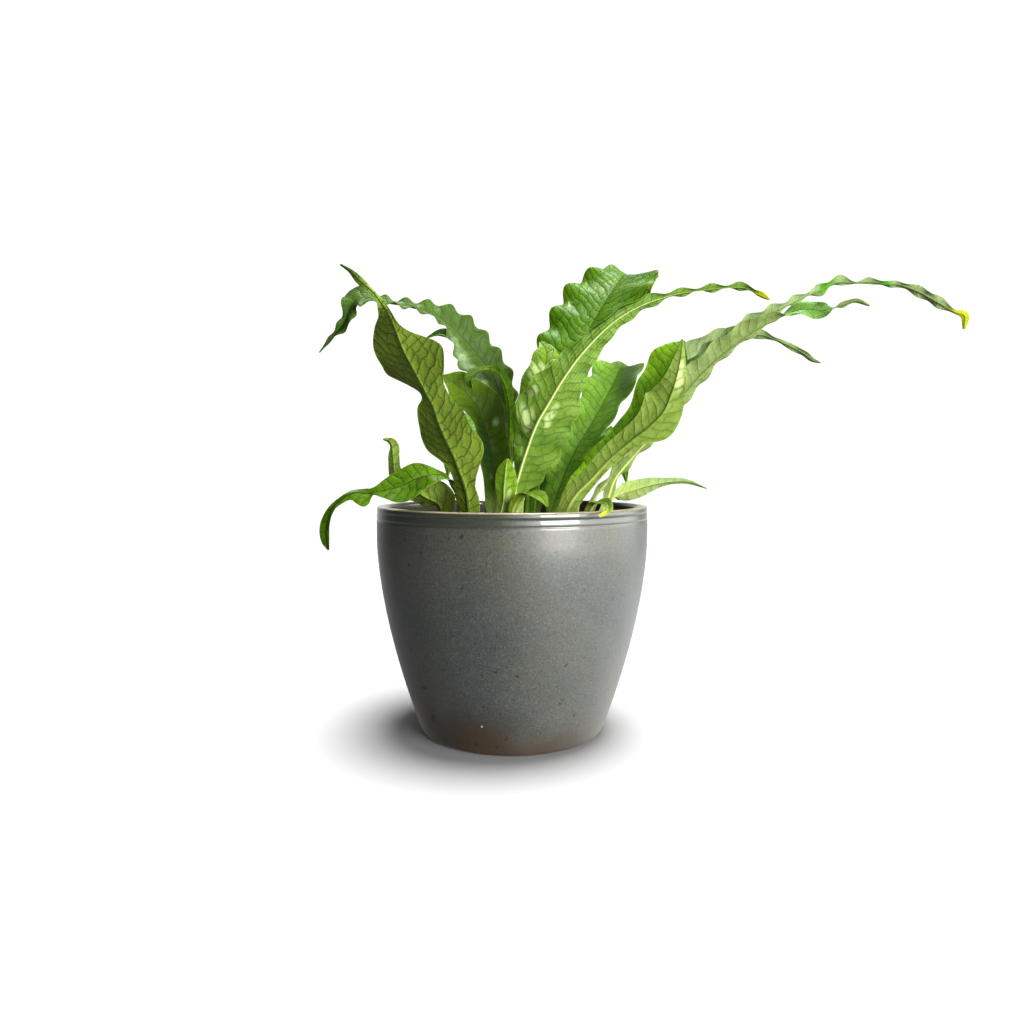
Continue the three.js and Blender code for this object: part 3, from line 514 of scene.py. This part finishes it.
def blade_material(name, face):
    material, tree, shader = new_material(f"frond_{name}_{face}")
    upper = face == "upper"
    look_name, above, below, bloom, yellow = SKINS[name]
    look = LOOKS[look_name]
    # Painted light and shade: this face's colour is scaled brighter or darker for the light it is seen in.
    painted_light_and_shade = above if upper else below
    middle, light, vein = (toned(srgb(*colour), painted_light_and_shade, bloom, yellow) for colour in look[face])
    foot_rib, tip_rib = (srgb(*colour) for colour in look["rib"])
    along, across = attribute(tree, "along"), attribute(tree, "across")
    edge, rib = attribute(tree, "edge"), attribute(tree, "rib")
    side_vein, cross_vein, band, cell = vein_net(along, across, NodeMath)
    nearest = side_vein.math("MINIMUM", cross_vein)
    spread = grain(tree, 30, 3)
    fine = grain(tree, 420, 2)
    shade = spread * 1.1 + random_of(tree, band, cell, NodeMath.below(across, 0)) * 0.3 + fine * 0.5
    colour = mixed(tree, shade.smooth(0.65, 1.3), middle, light)
    net = tree.nodes.new("ShaderNodeTexVoronoi")
    net.feature = "DISTANCE_TO_EDGE"
    net.inputs["Scale"].default_value = 480
    tree.links.new(object_place(tree), net.inputs["Vector"])
    mesh_line = Wire(tree, net.outputs["Distance"]).smooth(0, 0.18, 0.3, 0)
    strength = spread.smooth(0.3, 0.7, 0.7, 1) * look["veins"]
    ragged = fine * 0.6 + spread * 0.4
    furrow = NodeMath.sine(across * (2 * math.pi / RIDGE_PITCH) + spread * 2).smooth(-0.2, -0.9)
    furrow = furrow * attribute(tree, "ridge")
    layers = [
        (nearest.smooth(0.4, 2.4, 0, 0.35), light),
        (mesh_line * spread.smooth(0.3, 0.6), vein),
        (cross_vein.smooth(0.08, 0.5, 0.6, 0) * strength, vein),
        (side_vein.smooth(0.1, 0.55, 0.95, 0) * strength, vein),
        # Painted shade: the furrows between the ridge marks' pleats are darkened with the vein colour.
        (furrow * 0.55, vein),
    ]
    if upper:
        layers += [(rib.smooth(1, 1.7, 0.3, 0), light), (rib.smooth(0.3, 0.75, 0.9, 0), vein)]
    else:
        rib_colour = mixed(tree, attribute(tree, "share").smooth(*look["rib_turn"]), foot_rib, tip_rib)
        layers.append((rib.smooth(0.6, 1, 0.9, 0), rib_colour))
    layers.append((along.smooth(6, 40, 0.8, 0) * (ragged + 0.3), foot_rib))
    # Painted light and shade among the marks: sheen marks paint sheen, and dark marks in part paint shade.
    for kind in ("sheen", "dark", "green", "yellow", "brown"):
        layers.append(((attribute(tree, kind) * (ragged + 0.6)).smooth(0.2, 0.8), MARK_PAINT[kind]))
    # Pale marks are mostly painted highlights, brightest in the middle of the domed cells, and in places pale
    # spots.
    highlight_and_pale_in_cells = nearest.smooth(0, 2.2, 0.5, 0.9) + ragged * 0.6
    layers.append(((attribute(tree, "pale") * highlight_and_pale_in_cells).smooth(0.3, 0.8, 0, 0.85), MARK_PAINT["pale"]))
    layers.append((edge.smooth(0.05, 0.4, 0.5, 0) * NodeMath.size(across).smooth(2.5, 6), THIN_MARGIN))
    paint(tree, shader, colour, layers)
    rough = fine * 0.2 + (look["gloss"] if upper else look["gloss"] + 0.1)
    tree.links.new(rough.socket, shader.inputs["Roughness"])
    shader.inputs["IOR"].default_value = 1.45
    shader.inputs["Specular IOR Level"].default_value = look["shine"]
    shader.inputs["Subsurface Weight"].default_value = 0.08
    shader.inputs["Subsurface Radius"].default_value = (0.6, 1, 0.1)
    shader.inputs["Subsurface Scale"].default_value = 0.001
    sunk = side_vein.smooth(0, 0.7) * 0.6 + cross_vein.smooth(0, 0.5) * 0.4 + fine * 0.1
    sunk = sunk - furrow * 0.5
    bump(tree, shader, sunk if upper else 0.6 - sunk, 0.00025)
    return material


def spline(rows, t):
    """Uniform Catmull-Rom through the rows, with t from 0 to 1 over the whole of them."""
    rows = np.asarray(rows, float)
    last = len(rows) - 1
    rows = np.vstack([2 * rows[0] - rows[1], rows, 2 * rows[-1] - rows[-2]])
    place = np.clip(np.asarray(t) * last, 0, last - 1e-9)
    i = place.astype(int)
    f = (place - i)[:, None]
    before, start, end, after = rows[i], rows[i + 1], rows[i + 2], rows[i + 3]
    leave, arrive = (end - before) / 2, (after - start) / 2
    return ((2 * f**3 - 3 * f**2 + 1) * start + (f**3 - 2 * f**2 + f) * leave
            + (3 * f**2 - 2 * f**3) * end + (f**3 - f**2) * arrive)


def branch_points(branch, count=200):
    return spline(BRANCHES[branch], np.linspace(0, 1, count + 1))


def root_point(frond):
    points = branch_points(frond["branch"])
    nearest = points[np.argmin(np.abs(points[:, 0] - frond["root_x"]))]
    return [nearest[0], nearest[1], ROOT_Z]


def unit(vectors):
    return vectors / np.linalg.norm(vectors, axis=-1, keepdims=True)


def frond_rows(frond):
    """Evenly spaced rows along the frond: length from the root, midrib point, frame, two half widths."""
    stations = frond["stations"]
    first = [*root_point(frond), STIPE_HALF, STIPE_HALF, stations[0][5]]
    rows = [first, *stations]
    t = np.linspace(0, 1, LENGTH_SAMPLES * len(rows))
    line = spline(rows, t)[:, :3]
    lengths = np.concatenate([[0], np.cumsum(np.linalg.norm(np.diff(line, axis=0), axis=1))])
    total = lengths[-1]
    s = np.linspace(0, total, int(total / ROW_STEP) + 1)
    t = np.interp(s, lengths, t)
    values = spline(rows, t)
    reach = 1e-3
    ahead = unit((spline(rows, np.minimum(1, t + reach)) - spline(rows, np.maximum(0, t - reach)))[:, :3])
    lean = math.radians(frond["lean"])
    level = np.tile([-math.sin(lean), math.cos(lean), 0], (len(s), 1))
    up = unit(np.cross(ahead, level))
    side = np.cross(up, ahead)
    roll = np.radians(values[:, 5])[:, None]
    turned_side = side * np.cos(roll) + up * np.sin(roll)
    turned_up = up * np.cos(roll) - side * np.sin(roll)
    return dict(s=s, total=total, middle=values[:, :3], ahead=ahead, side=turned_side, up=turned_up,
                left=values[:, 3], right=values[:, 4])


def column_places(widest):
    """Places across the blade from -1 to 1: the first few each side of 0 belong to the rib."""
    outer = int(np.clip(widest / COLUMN_STEP, 9, 27))
    rib = np.arange(RIB_COLUMNS) / RIB_COLUMNS * 0.2
    blade = 0.2 + 0.8 * np.arange(outer + 1) / outer
    half = np.concatenate([rib, blade])
    return np.concatenate([-half[:0:-1], half])


def mark_values(frond, share, signed):
    """Strength of every kind of mark at each place along the frond and across it."""
    values = {kind: np.zeros(signed.shape) for kind in MARK_KINDS}
    for kind, place, aside, reach_along, reach_aside, strength in MARKS.get(frond["name"], []):
        far = ((share - place) / reach_along) ** 2 + ((signed - aside) / reach_aside) ** 2
        values[kind] = np.maximum(values[kind], strength * np.exp(-far))
    return values


def blade_grid(frond, order):
    """Points of the upper face and the underside, with what the materials read at each."""
    rows = frond_rows(frond)
    s = rows["s"][:, None]
    total = rows["total"]
    c = column_places(max(rows["left"].max(), rows["right"].max()))[None, :]
    right = c < 0
    width = np.where(right, rows["right"][:, None], rows["left"][:, None])
    stipe_half = STIPE_HALF + frond.get("flare", STIPE_FLARE) * np.maximum(0, s - STIPE_LENGTH)
    width = np.minimum(np.maximum(width, THINNEST_HALF), stipe_half)
    taper = 1 - s / total
    rib = RIB_THIN + RIB_SWELL * taper**2
    zone = np.minimum(1.8 * rib, 0.45 * width)
    size = np.abs(c)
    out = np.where(size <= 0.2, size / 0.2 * zone, zone + (size - 0.2) / 0.8 * (width - zone))
    u = out / width
    height, pitch = frond["ruffle"]
    turn = 2 * np.pi * s / pitch + order * GOLDEN_ANGLE + np.where(right, 0, MARGINS_APART)
    lobed = LOBE * np.clip((width - LOBE_FROM) / (LOBE_FULL - LOBE_FROM), 0, 1)
    swing = 1 + lobed * np.sin(turn + LOBE_LEAD)
    out, width = out * swing, width * swing
    across = np.where(right, -out, out)
    grown = np.minimum(1, s / GROW_IN) * np.minimum(1, (total - s) / FADE_OUT)
    ruffle = grown * u * u * np.minimum(height, RUFFLE_SHARE * width) * np.sin(turn)
    side_vein, cross_vein, _, _ = vein_net(np.broadcast_to(s, across.shape), across, ArrayMath)
    cell = np.minimum(side_vein, cross_vein + 0.6)
    dome = np.clip(cell / 2, 0, 1)
    dome = dome * dome * (3 - 2 * dome)
    calm = np.clip((out - zone) / 2, 0, 1) * np.clip((width - out) / 1.5, 0, 1)
    quilt = QUILT * np.minimum(1, width / 9) * grown * calm * dome
    marks = mark_values(frond, s / total, np.where(right, -u, u))
    pleats = RIDGE_HEIGHT * np.sin(2 * np.pi / RIDGE_PITCH * across) * marks["ridge"] * calm
    rise = CHANNEL * out + ruffle + quilt + pleats
    swept = SWEEP * out * grown
    point = (rows["middle"][:, None] + rows["side"][:, None] * across[..., None]
             + rows["up"][:, None] * rise[..., None] + rows["ahead"][:, None] * swept[..., None])
    stalk = np.clip(1 - s / STIPE_ENDS, 0, 1) ** 1.5
    half = (BLADE_HALF * np.sqrt(np.clip(1 - u**6, 0, 1))
            + STIPE_THICK * stalk * np.sqrt(np.clip(1 - u**2, 0, 1)))
    ridge = np.exp(-((out / rib) ** 2)) * np.minimum(1, width / 5) * (1 - stalk)
    over = half - RIB_GROOVE * ridge
    under = half + RIB_HEIGHT * (0.35 + 0.65 * taper) * ridge
    up = rows["up"][:, None]
    upper = point + up * over[..., None]
    lower = point - up * under[..., None]
    flat = 0 * across
    reads = dict(along=s + flat, across=across, edge=width - out + flat, share=s / total + flat,
                 rib=out / np.minimum(rib, 0.5 * width) + flat)
    reads.update(marks)
    return upper, lower, reads


def mesh_object(name, points, quads, materials, slots=None, reads=None, sharp=50):
    """points in mm. quads may hold a row twice its last corner for a triangle."""
    mesh = bpy.data.meshes.new(name)
    mesh.vertices.add(len(points))
    mesh.vertices.foreach_set("co", (np.asarray(points) * MM).astype(np.float32).ravel())
    quads = np.asarray(quads)
    mesh.loops.add(quads.size)
    mesh.loops.foreach_set("vertex_index", quads.astype(np.int32).ravel())
    mesh.polygons.add(len(quads))
    mesh.polygons.foreach_set("loop_start", np.arange(0, quads.size, quads.shape[1], dtype=np.int32))
    for material in materials:
        mesh.materials.append(material)
    if slots is not None:
        mesh.polygons.foreach_set("material_index", np.asarray(slots, np.int32))
    for key, values in (reads or {}).items():
        layer = mesh.attributes.new(key, "FLOAT", "POINT")
        layer.data.foreach_set("value", np.asarray(values, np.float32).ravel())
    mesh.update(calc_edges=True)
    mesh.validate()
    mesh.polygons.foreach_set("use_smooth", np.ones(len(mesh.polygons), bool))
    mesh.set_sharp_from_angle(angle=math.radians(sharp))
    thing = bpy.data.objects.new(name, mesh)
    bpy.context.scene.collection.objects.link(thing)
    return thing


def frond_object(frond, order, skins):
    upper, lower, reads = blade_grid(frond, order)
    rows, wide = upper.shape[:2]
    inner = wide - 2
    points = np.concatenate([upper.reshape(-1, 3), lower[:, 1:-1].reshape(-1, 3)])
    values = {key: np.concatenate([v.ravel(), v[:, 1:-1].ravel()]) for key, v in reads.items()}
    top = np.arange(rows * wide).reshape(rows, wide)
    bottom = top.copy()
    bottom[:, 1:-1] = rows * wide + np.arange(rows * inner).reshape(rows, inner)
    over = np.stack([top[:-1, :-1], top[1:, :-1], top[1:, 1:], top[:-1, 1:]], -1).reshape(-1, 4)
    under = np.stack([bottom[:-1, :-1], bottom[:-1, 1:], bottom[1:, 1:], bottom[1:, :-1]], -1).reshape(-1, 4)
    foot = np.stack([top[0, :-1], top[0, 1:], bottom[0, 1:], bottom[0, :-1]], -1)
    tip = np.stack([top[-1, :-1], bottom[-1, :-1], bottom[-1, 1:], top[-1, 1:]], -1)
    caps = np.concatenate([foot[1:-1], tip[1:-1]])
    quads = np.concatenate([over, under, caps])
    slots = np.concatenate([np.zeros(len(over)), np.ones(len(under) + len(caps))])
    node = "frond_" + frond["name"]
    thing = mesh_object(node + "_blade", points, quads, skins, slots, values)
    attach(thing, "root")
    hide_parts(node)
    return thing


def add_fronds():
    for order, frond in enumerate(FRONDS):
        skins = [blade_material(frond["name"], face) for face in ("upper", "under")]
        frond_object(frond, order, skins)


def belly_radius(z):
    z = np.minimum(z, BELLY_TOP)
    return POT_RADIUS - (POT_RADIUS - BASE_RADIUS) * (1 - z / BELLY_TOP) ** BELLY_POWER


def arc(centre, radius, start, end, count):
    turns = np.radians(np.linspace(start, end, count))
    return [(centre[0] + radius * math.cos(a), centre[1] + radius * math.sin(a)) for a in turns]


def pot_profile():
    """Radius and height from the middle of the base, out, up, over the lip and down inside."""
    profile = [(r, 0) for r in np.linspace(0, BASE_RADIUS - BASE_ROUND, 12)]
    for z in np.linspace(0.4, BASE_ROUND, 5):
        round_in = BASE_ROUND - math.sqrt(max(0, BASE_ROUND**2 - (BASE_ROUND - z) ** 2))
        profile.append((float(belly_radius(z)) - round_in, z))
    profile += [(float(belly_radius(z)), z) for z in np.linspace(BASE_ROUND + 2, COLLAR_FOOT - 2.5, 60)]
    profile += [(POT_RADIUS - dip, COLLAR_FOOT + lift) for dip, lift in COLLAR]
    inner = POT_RADIUS - WALL
    profile += arc((inner + 2, POT_HEIGHT - 2), 2, 90, 180, 6)
    profile += [(float(belly_radius(z)) - WALL, z) for z in np.linspace(POT_HEIGHT - 5, FLOOR + 6, 40)]
    profile += [(float(belly_radius(FLOOR)) - WALL - 4, FLOOR)]
    profile += [(r, FLOOR) for r in np.linspace(float(belly_radius(FLOOR)) - WALL - 10, 0, 8)]
    return profile


def lathe(profile, sides):
    """Points and faces of a closed turned body whose profile starts and ends on the axis."""
    rings = np.array(profile[1:-1])
    turns = 2 * np.pi * np.arange(sides) / sides
    x = rings[:, :1] * np.cos(turns)
    y = rings[:, :1] * np.sin(turns)
    z = np.repeat(rings[:, 1:], sides, 1)
    points = np.stack([x, y, z], -1).reshape(-1, 3)
    ring = np.arange(len(rings) * sides).reshape(len(rings), sides)
    beside = np.roll(ring, -1, 1)
    quads = np.stack([ring[:-1], beside[:-1], beside[1:], ring[1:]], -1).reshape(-1, 4)
    points = np.vstack([points, [[0, 0, profile[0][1]], [0, 0, profile[-1][1]]]])
    foot, top = len(points) - 2, len(points) - 1
    return points, quads, ring, foot, top


def fans(quads, ring, foot, top):
    """Closes a turned body's two ends round their middle points, by a small quad for every two sides."""
    sides = ring.shape[1]
    even = np.arange(0, sides, 2)
    low = np.stack([np.full(len(even), foot), ring[0, (even + 2) % sides], ring[0, (even + 1) % sides],
                    ring[0, even]], -1)
    high = np.stack([np.full(len(even), top), ring[-1, even], ring[-1, (even + 1) % sides],
                     ring[-1, (even + 2) % sides]], -1)
    return np.concatenate([quads, low, high])


def spot(tree, place, centre, radii):
    """Distance from a point of the object, as a share of an ellipsoid's radii: 1 at its skin."""
    for operation, value in (("SUBTRACT", centre), ("DIVIDE", radii), ("LENGTH", (0, 0, 0))):
        node = tree.nodes.new("ShaderNodeVectorMath")
        node.operation = operation
        tree.links.new(place, node.inputs[0])
        node.inputs[1].default_value = value
        place = node.outputs["Value" if operation == "LENGTH" else "Vector"]
    return Wire(tree, place)


def on_wall(x, z):
    """The point of the pot's outside, in metres, that lies at this x and z on its front."""
    radius = float(belly_radius(z))
    return (x * MM, -math.sqrt(radius**2 - x**2) * MM, z * MM)


def glaze_material():
    material, tree, shader = new_material("blue_grey_glaze")
    place = object_place(tree)
    parts = tree.nodes.new("ShaderNodeSeparateXYZ")
    tree.links.new(place, parts.inputs[0])
    x, y, z = (Wire(tree, parts.outputs[i]) for i in range(3))
    height = z / MM
    radius = ((x * x + y * y).math("SQRT")) / MM
    cloud = grain(tree, 14, 4, roughness=0.6)
    drift = grain(tree, 34, 5, roughness=0.65)
    speck = grain(tree, 900, 3, roughness=0.7)
    colour = mixed(tree, cloud.smooth(0.35, 0.65), srgb(61, 66, 66), srgb(74, 75, 69))
    band = height.smooth(COLLAR_FOOT - 2, COLLAR_FOOT - 0.5)
    level = height + (drift - 0.5) * 40 + (cloud - 0.5) * 44 + x * (0.16 / MM)
    layers = [
        (height.smooth(80, 150, 0, 0.5) * drift.smooth(0.35, 0.65), srgb(70, 70, 50)),
        (speck.smooth(0.36, 0.5, 0.6, 0), srgb(38, 40, 38)),
        (speck.smooth(0.54, 0.68, 0, 0.5), srgb(104, 106, 96)),
        (band * 0.6, srgb(44, 50, 40)),
        (level.smooth(0, 42, 0.92, 0), srgb(58, 45, 31)),
        (grain(tree, 190, 2).smooth(0.69, 0.74, 0, 0.75), srgb(20, 19, 18)),
    ]
    for at_x, at_z, size_x, size_z in ((-52, 21, 1.8, 4.2), (-57, 42, 2.6, 1.3), (-23, 8, 0.9, 0.9)):
        far = spot(tree, place, on_wall(at_x, at_z), (size_x * MM, 0.012, size_z * MM))
        layers.append(((far + (drift - 0.5)).smooth(0.7, 1.1, 0.85, 0), srgb(20, 18, 16)))
    pale = spot(tree, place, on_wall(-19, 22), (0.8 * MM, 0.008, 0.8 * MM))
    # Painted reflection: a faint pinkish smear under the collar stands for the softbox mirrored in the wall.
    painted_reflection = spot(tree, place, on_wall(28, 142), (12.5 * MM, 0.02, 6.5 * MM)) + (grain(tree, 90, 3) - 0.5) * 1.7
    rim_line = height.smooth(157.5, 158.3) * radius.smooth(88.5, 90.5)
    wall = POT_RADIUS - (1 - (height / BELLY_TOP).math("MINIMUM", 1)).math("POWER", BELLY_POWER) * (
        POT_RADIUS - BASE_RADIUS)
    layers += [
        (pale.smooth(0.6, 1.1, 0.9, 0), srgb(180, 178, 168)),
        # The painted reflection of the softbox under the collar.
        (painted_reflection.smooth(0.75, 1, 0.12, 0), srgb(134, 112, 100)),
        (rim_line * 0.8, srgb(168, 148, 124)),
        ((wall - radius).smooth(3.5, 5.5) * height.smooth(5, 8), srgb(50, 38, 28)),
    ]
    paint(tree, shader, colour, layers)
    rough = speck * 0.12 + drift * 0.1 + 0.27
    tree.links.new(rough.socket, shader.inputs["Roughness"])
    shader.inputs["IOR"].default_value = 1.55
    tree.links.new((band * 0.55 + 0.1).socket, shader.inputs["Coat Weight"])
    shader.inputs["Coat Roughness"].default_value = 0.04
    shader.inputs["Coat Tint"].default_value = (0.85, 0.9, 0.8, 1)
    bump(tree, shader, drift * 0.7 + speck * 0.08, 0.0003)
    return material


def add_pot():
    points, quads, ring, foot, top = lathe(pot_profile(), POT_SIDES)
    pot = mesh_object("glazed_pot", points, fans(quads, ring, foot, top), [glaze_material()], sharp=45)
    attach(pot, "root")
    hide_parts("pot")
    return pot


def soil_height(x, y):
    coarse = np.sin(x * 0.19 + 1.3) * np.cos(y * 0.17 - 0.4)
    fine = np.sin(x * 0.43 - y * 0.31 + 2.1)
    return SOIL_TOP + SOIL_BUMP * (0.65 * coarse + 0.35 * fine)


def soil_material():
    material, tree, shader = new_material("peat_soil")
    lump = grain(tree, 160, 6, roughness=0.7)
    bark = grain(tree, 60, 3)
    colour = mixed(tree, lump.smooth(0.35, 0.65), srgb(30, 20, 14), srgb(74, 54, 38))
    paint(tree, shader, colour, [(bark.smooth(0.56, 0.64, 0, 0.6), srgb(104, 78, 52))])
    shader.inputs["Roughness"].default_value = 0.95
    bump(tree, shader, lump, 0.0012)
    return material


def add_soil():
    rings, sides = 90, 200
    inset = WALL + GAP + 0.4
    brim = float(belly_radius(SOIL_TOP)) - inset
    profile_radius = brim * np.linspace(0, 1, rings + 1)[1:]
    turns = 2 * np.pi * np.arange(sides) / sides
    x = profile_radius[:, None] * np.cos(turns)
    y = profile_radius[:, None] * np.sin(turns)
    z = soil_height(x, y)
    for size, height in ((9, 1.3), (3.6, 0.9)):
        bumps = [noise.noise(Vector((px / size, py / size, size))) for px, py in zip(x.ravel(), y.ravel())]
        z += height * np.array(bumps).reshape(z.shape)
    side_z = [110, 80, 50, FLOOR + 5]
    low = [(float(belly_radius(h)) - inset, h) for h in side_z]
    low.append((float(belly_radius(FLOOR)) - inset - 5, FLOOR + GAP))
    top = np.stack([x, y, z], -1).reshape(-1, 3)
    wall = np.array([[r * math.cos(a), r * math.sin(a), h] for r, h in low for a in turns])
    points = np.vstack([top, wall, [[0, 0, float(soil_height(0, 0))], [0, 0, FLOOR + GAP]]])
    ring = np.arange((rings + len(low)) * sides).reshape(-1, sides)
    beside = np.roll(ring, -1, 1)
    quads = np.stack([ring[:-1], ring[1:], beside[1:], beside[:-1]], -1).reshape(-1, 4)
    high, deep = len(points) - 2, len(points) - 1
    soil = mesh_object("peat", points, fans(quads, ring[::-1], deep, high), [soil_material()])
    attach(soil, "root")
    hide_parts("soil")


def rhizome_material():
    material, tree, shader = new_material("scaly_rhizome")
    fibre = grain(tree, 240, 5, roughness=0.7)
    paint(tree, shader, srgb(52, 36, 22), [(fibre.smooth(0.35, 0.65), srgb(122, 92, 56))])
    shader.inputs["Roughness"].default_value = 0.85
    bump(tree, shader, fibre, 0.0008)
    return material


def tube(line, radii, sides):
    """Points and quads of a closed round tube along a line, with a radius at each of its points."""
    ahead = unit(np.gradient(line, axis=0))
    side = unit(np.cross(ahead, [0, 0, 1]))
    up = np.cross(side, ahead)
    turns = 2 * np.pi * np.arange(sides) / sides
    points = (line[:, None] + side[:, None] * (np.cos(turns)[:, None] * radii[:, None, None])
              + up[:, None] * (np.sin(turns)[:, None] * radii[:, None, None]))
    ring = np.arange(len(line) * sides).reshape(-1, sides)
    beside = np.roll(ring, -1, 1)
    quads = np.stack([ring[:-1], beside[:-1], beside[1:], ring[1:]], -1).reshape(-1, 4)
    return points, quads, ring


def add_rhizome():
    draw = np.random.default_rng(SEED)
    all_points, all_quads = [], []
    base = 0
    for branch in BRANCHES:
        line = branch_points(branch, 90)
        line = np.column_stack([line, np.full(len(line), ROOT_Z - 1)])
        place = np.linspace(0, 1, len(line))
        ends = np.sqrt(np.clip(1 - (np.abs(place - 0.5) * 2) ** 14, 0.02, 1))
        radii = RHIZOME_RADIUS * ends * (1 + 0.06 * np.sin(place * 60 + len(all_points)))
        points, quads, ring = tube(line, radii, RHIZOME_SIDES)
        flat = points.reshape(-1, 3)
        rough = np.array([noise.noise(Vector(p / 3)) for p in flat])
        centre = np.repeat(line, RHIZOME_SIDES, 0)
        flat = centre + (flat - centre) * (1 + 0.07 * rough[:, None])
        all_points.append(flat)
        all_quads.append(quads + base)
        even = np.arange(0, RHIZOME_SIDES, 2)
        for row, flip in ((ring[0], False), (ring[-1], True)):
            pair = [row[(even + step) % RHIZOME_SIDES] for step in (0, 1, 2)]
            hub = np.full(len(even), row[0])
            face = np.stack([hub, *pair] if flip else [hub, *pair[::-1]], -1)
            all_quads.append(face[1:-1] + base)
        base += len(flat)
        for _ in range(SCALES_PER_BRANCH):
            k = draw.integers(4, len(line) - 4)
            turn = draw.uniform(-0.2, math.pi + 0.2)
            scale_points = scale_leaf(line[k], line[k + 1] - line[k - 1], radii[k], turn, draw)
            all_points.append(scale_points)
            all_quads.append(np.array([[0, 1, 2, 3], [0, 3, 2, 1]]) + base)
            base += len(scale_points)
    rhizome = mesh_object("creeping_rhizome", np.vstack(all_points), np.concatenate(all_quads),
                          [rhizome_material()], sharp=70)
    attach(rhizome, "root")
    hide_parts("rhizome")


def scale_leaf(centre, ahead, radius, turn, draw):
    """Four corners of one papery scale that lies along the rhizome and lifts at its tip."""
    ahead = unit(np.asarray(ahead))
    side = unit(np.cross(ahead, [0, 0, 1]))
    up = np.cross(side, ahead)
    out = side * math.cos(turn) + up * math.sin(turn)
    beside = np.cross(ahead, out)
    length, width = draw.uniform(2.5, 5), draw.uniform(0.7, 1.3)
    foot = centre + out * radius * 0.97
    tip = foot + ahead * length * draw.choice([-1, 1]) + out * draw.uniform(0.4, 1.3)
    waist = (foot * 0.6 + tip * 0.4) + out * 0.1
    return np.array([foot, waist + beside * width, tip, waist - beside * width])


def add_camera():
    data = bpy.data.cameras.new("camera")
    data.sensor_width = SENSOR
    data.lens = LENS
    data.clip_end = 50
    camera = bpy.data.objects.new("camera", data)
    camera.location = CAMERA_PLACE
    camera.rotation_euler = (math.pi / 2 - CAMERA_PITCH, 0, 0)
    bpy.context.scene.collection.objects.link(camera)
    bpy.context.scene.camera = camera


def direction(azimuth, elevation):
    """The way to a light, from its azimuth in degrees to the right of the viewer and its elevation."""
    a, e = math.radians(azimuth), math.radians(elevation)
    return Vector((math.sin(a) * math.cos(e), -math.cos(a) * math.cos(e), math.sin(e)))


def add_light(name, kind, energy, azimuth, elevation, distance, aim):
    """A light that looks at the point aim, in metres, from that far off."""
    data = bpy.data.lights.new(name, kind)
    data.energy = energy
    light = bpy.data.objects.new(name, data)
    way = direction(azimuth, elevation)
    light.location = Vector(aim) + way * distance
    light.rotation_euler = way.to_track_quat("Z", "Y").to_euler()
    bpy.context.scene.collection.objects.link(light)
    return light


def add_sun(name, strength, azimuth, elevation, size):
    sun = add_light(name, "SUN", strength, azimuth, elevation, SUN_DISTANCE, (0, 0, 0.2))
    sun.data.angle = math.radians(size)
    return sun


def light_set(name, things, state):
    """A set of objects that a light includes or leaves out."""
    group = bpy.data.collections.new(name)
    for thing in things:
        group.objects.link(thing)
    for entry in group.collection_objects:
        entry.light_linking.link_state = state
    return group


def add_world():
    """White to the eye, and for the light a dim room with one bright side at the front right."""
    world = bpy.data.worlds.new("studio")
    bpy.context.scene.world = world
    world.use_nodes = True
    tree = world.node_tree
    shader = tree.nodes["Background"]
    place = tree.nodes.new("ShaderNodeTexCoord")
    parts = tree.nodes.new("ShaderNodeSeparateXYZ")
    tree.links.new(place.outputs["Generated"], parts.inputs[0])
    x, y, z = (Wire(tree, parts.outputs[i]) for i in range(3))
    way = direction(*SIDE_LIGHT_FROM)
    facing = x * way.x + y * way.y + z * way.z
    side = facing.smooth(0.25, 0.85) * z.smooth(-0.25, 0) * z.smooth(0.2, 0.45, 1, 0) * SIDE_LIGHT
    back = y.smooth(0.5, 1) * z.smooth(-0.4, 0) * BACK_LIGHT
    below = z.smooth(-0.3, 0, 1, 0) * z.smooth(-0.8, -0.35, 0.3, 1)
    below = below * x.smooth(-0.1, 0.9, *TABLE_LIGHT)
    ceiling = z.smooth(0.3, 1) * CEILING_LIGHT
    studio = side + back + below + ceiling + ROOM_LIGHT
    path = tree.nodes.new("ShaderNodeLightPath")
    seen = Wire(tree, path.outputs["Is Camera Ray"])
    strength = seen * SKY_SEEN + (1 - seen) * studio
    shader.inputs["Color"].default_value = (1, 1, 1, 1)
    tree.links.new(strength.socket, shader.inputs["Strength"])


def add_stage(pot):
    """Floor and lights. The floor has its own sun, so that the shadow on it is the pot's alone."""
    add_world()
    top_sun = add_sun("top_sun", *TOP_SUN)
    floor_sun = add_sun("floor_sun", *FLOOR_SUN)
    softbox = add_light("window_softbox", "AREA", *SOFTBOX, (0, 0, 0.15))
    softbox.data.shape = "RECTANGLE"
    softbox.data.size, softbox.data.size_y = SOFTBOX_SIZE
    material, tree, shader = new_material("white_floor")
    shader.inputs["Base Color"].default_value = (FLOOR_SHADE, FLOOR_SHADE, FLOOR_SHADE, 1)
    shader.inputs["Roughness"].default_value = 0.9
    shader.inputs["Specular IOR Level"].default_value = 0
    mesh = bpy.data.meshes.new("floor")
    corners = [(x * FLOOR_HALF, y * FLOOR_HALF, 0) for x, y in ((-1, -1), (1, -1), (1, 1), (-1, 1))]
    mesh.from_pydata(corners, [], [(0, 1, 2, 3)])
    mesh.materials.append(material)
    floor = bpy.data.objects.new("floor", mesh)
    bpy.context.scene.collection.objects.link(floor)
    floor.visible_diffuse = False
    floor.visible_glossy = False
    top_sun.light_linking.receiver_collection = light_set("all_but_floor", [floor], "EXCLUDE")
    floor_sun.light_linking.receiver_collection = light_set("floor_alone", [floor], "INCLUDE")
    floor_sun.light_linking.blocker_collection = light_set("pot_shadow", [pot], "INCLUDE")
    view = bpy.context.scene.view_settings
    view.view_transform = "Standard"
    view.look = "None"
    view.exposure = 0
    view.gamma = 1
    bpy.context.scene.cycles.use_denoising = True


add_camera()
pot = add_pot()
add_stage(pot)
add_soil()
add_rhizome()
add_fronds()

bpy.context.view_layer.update()
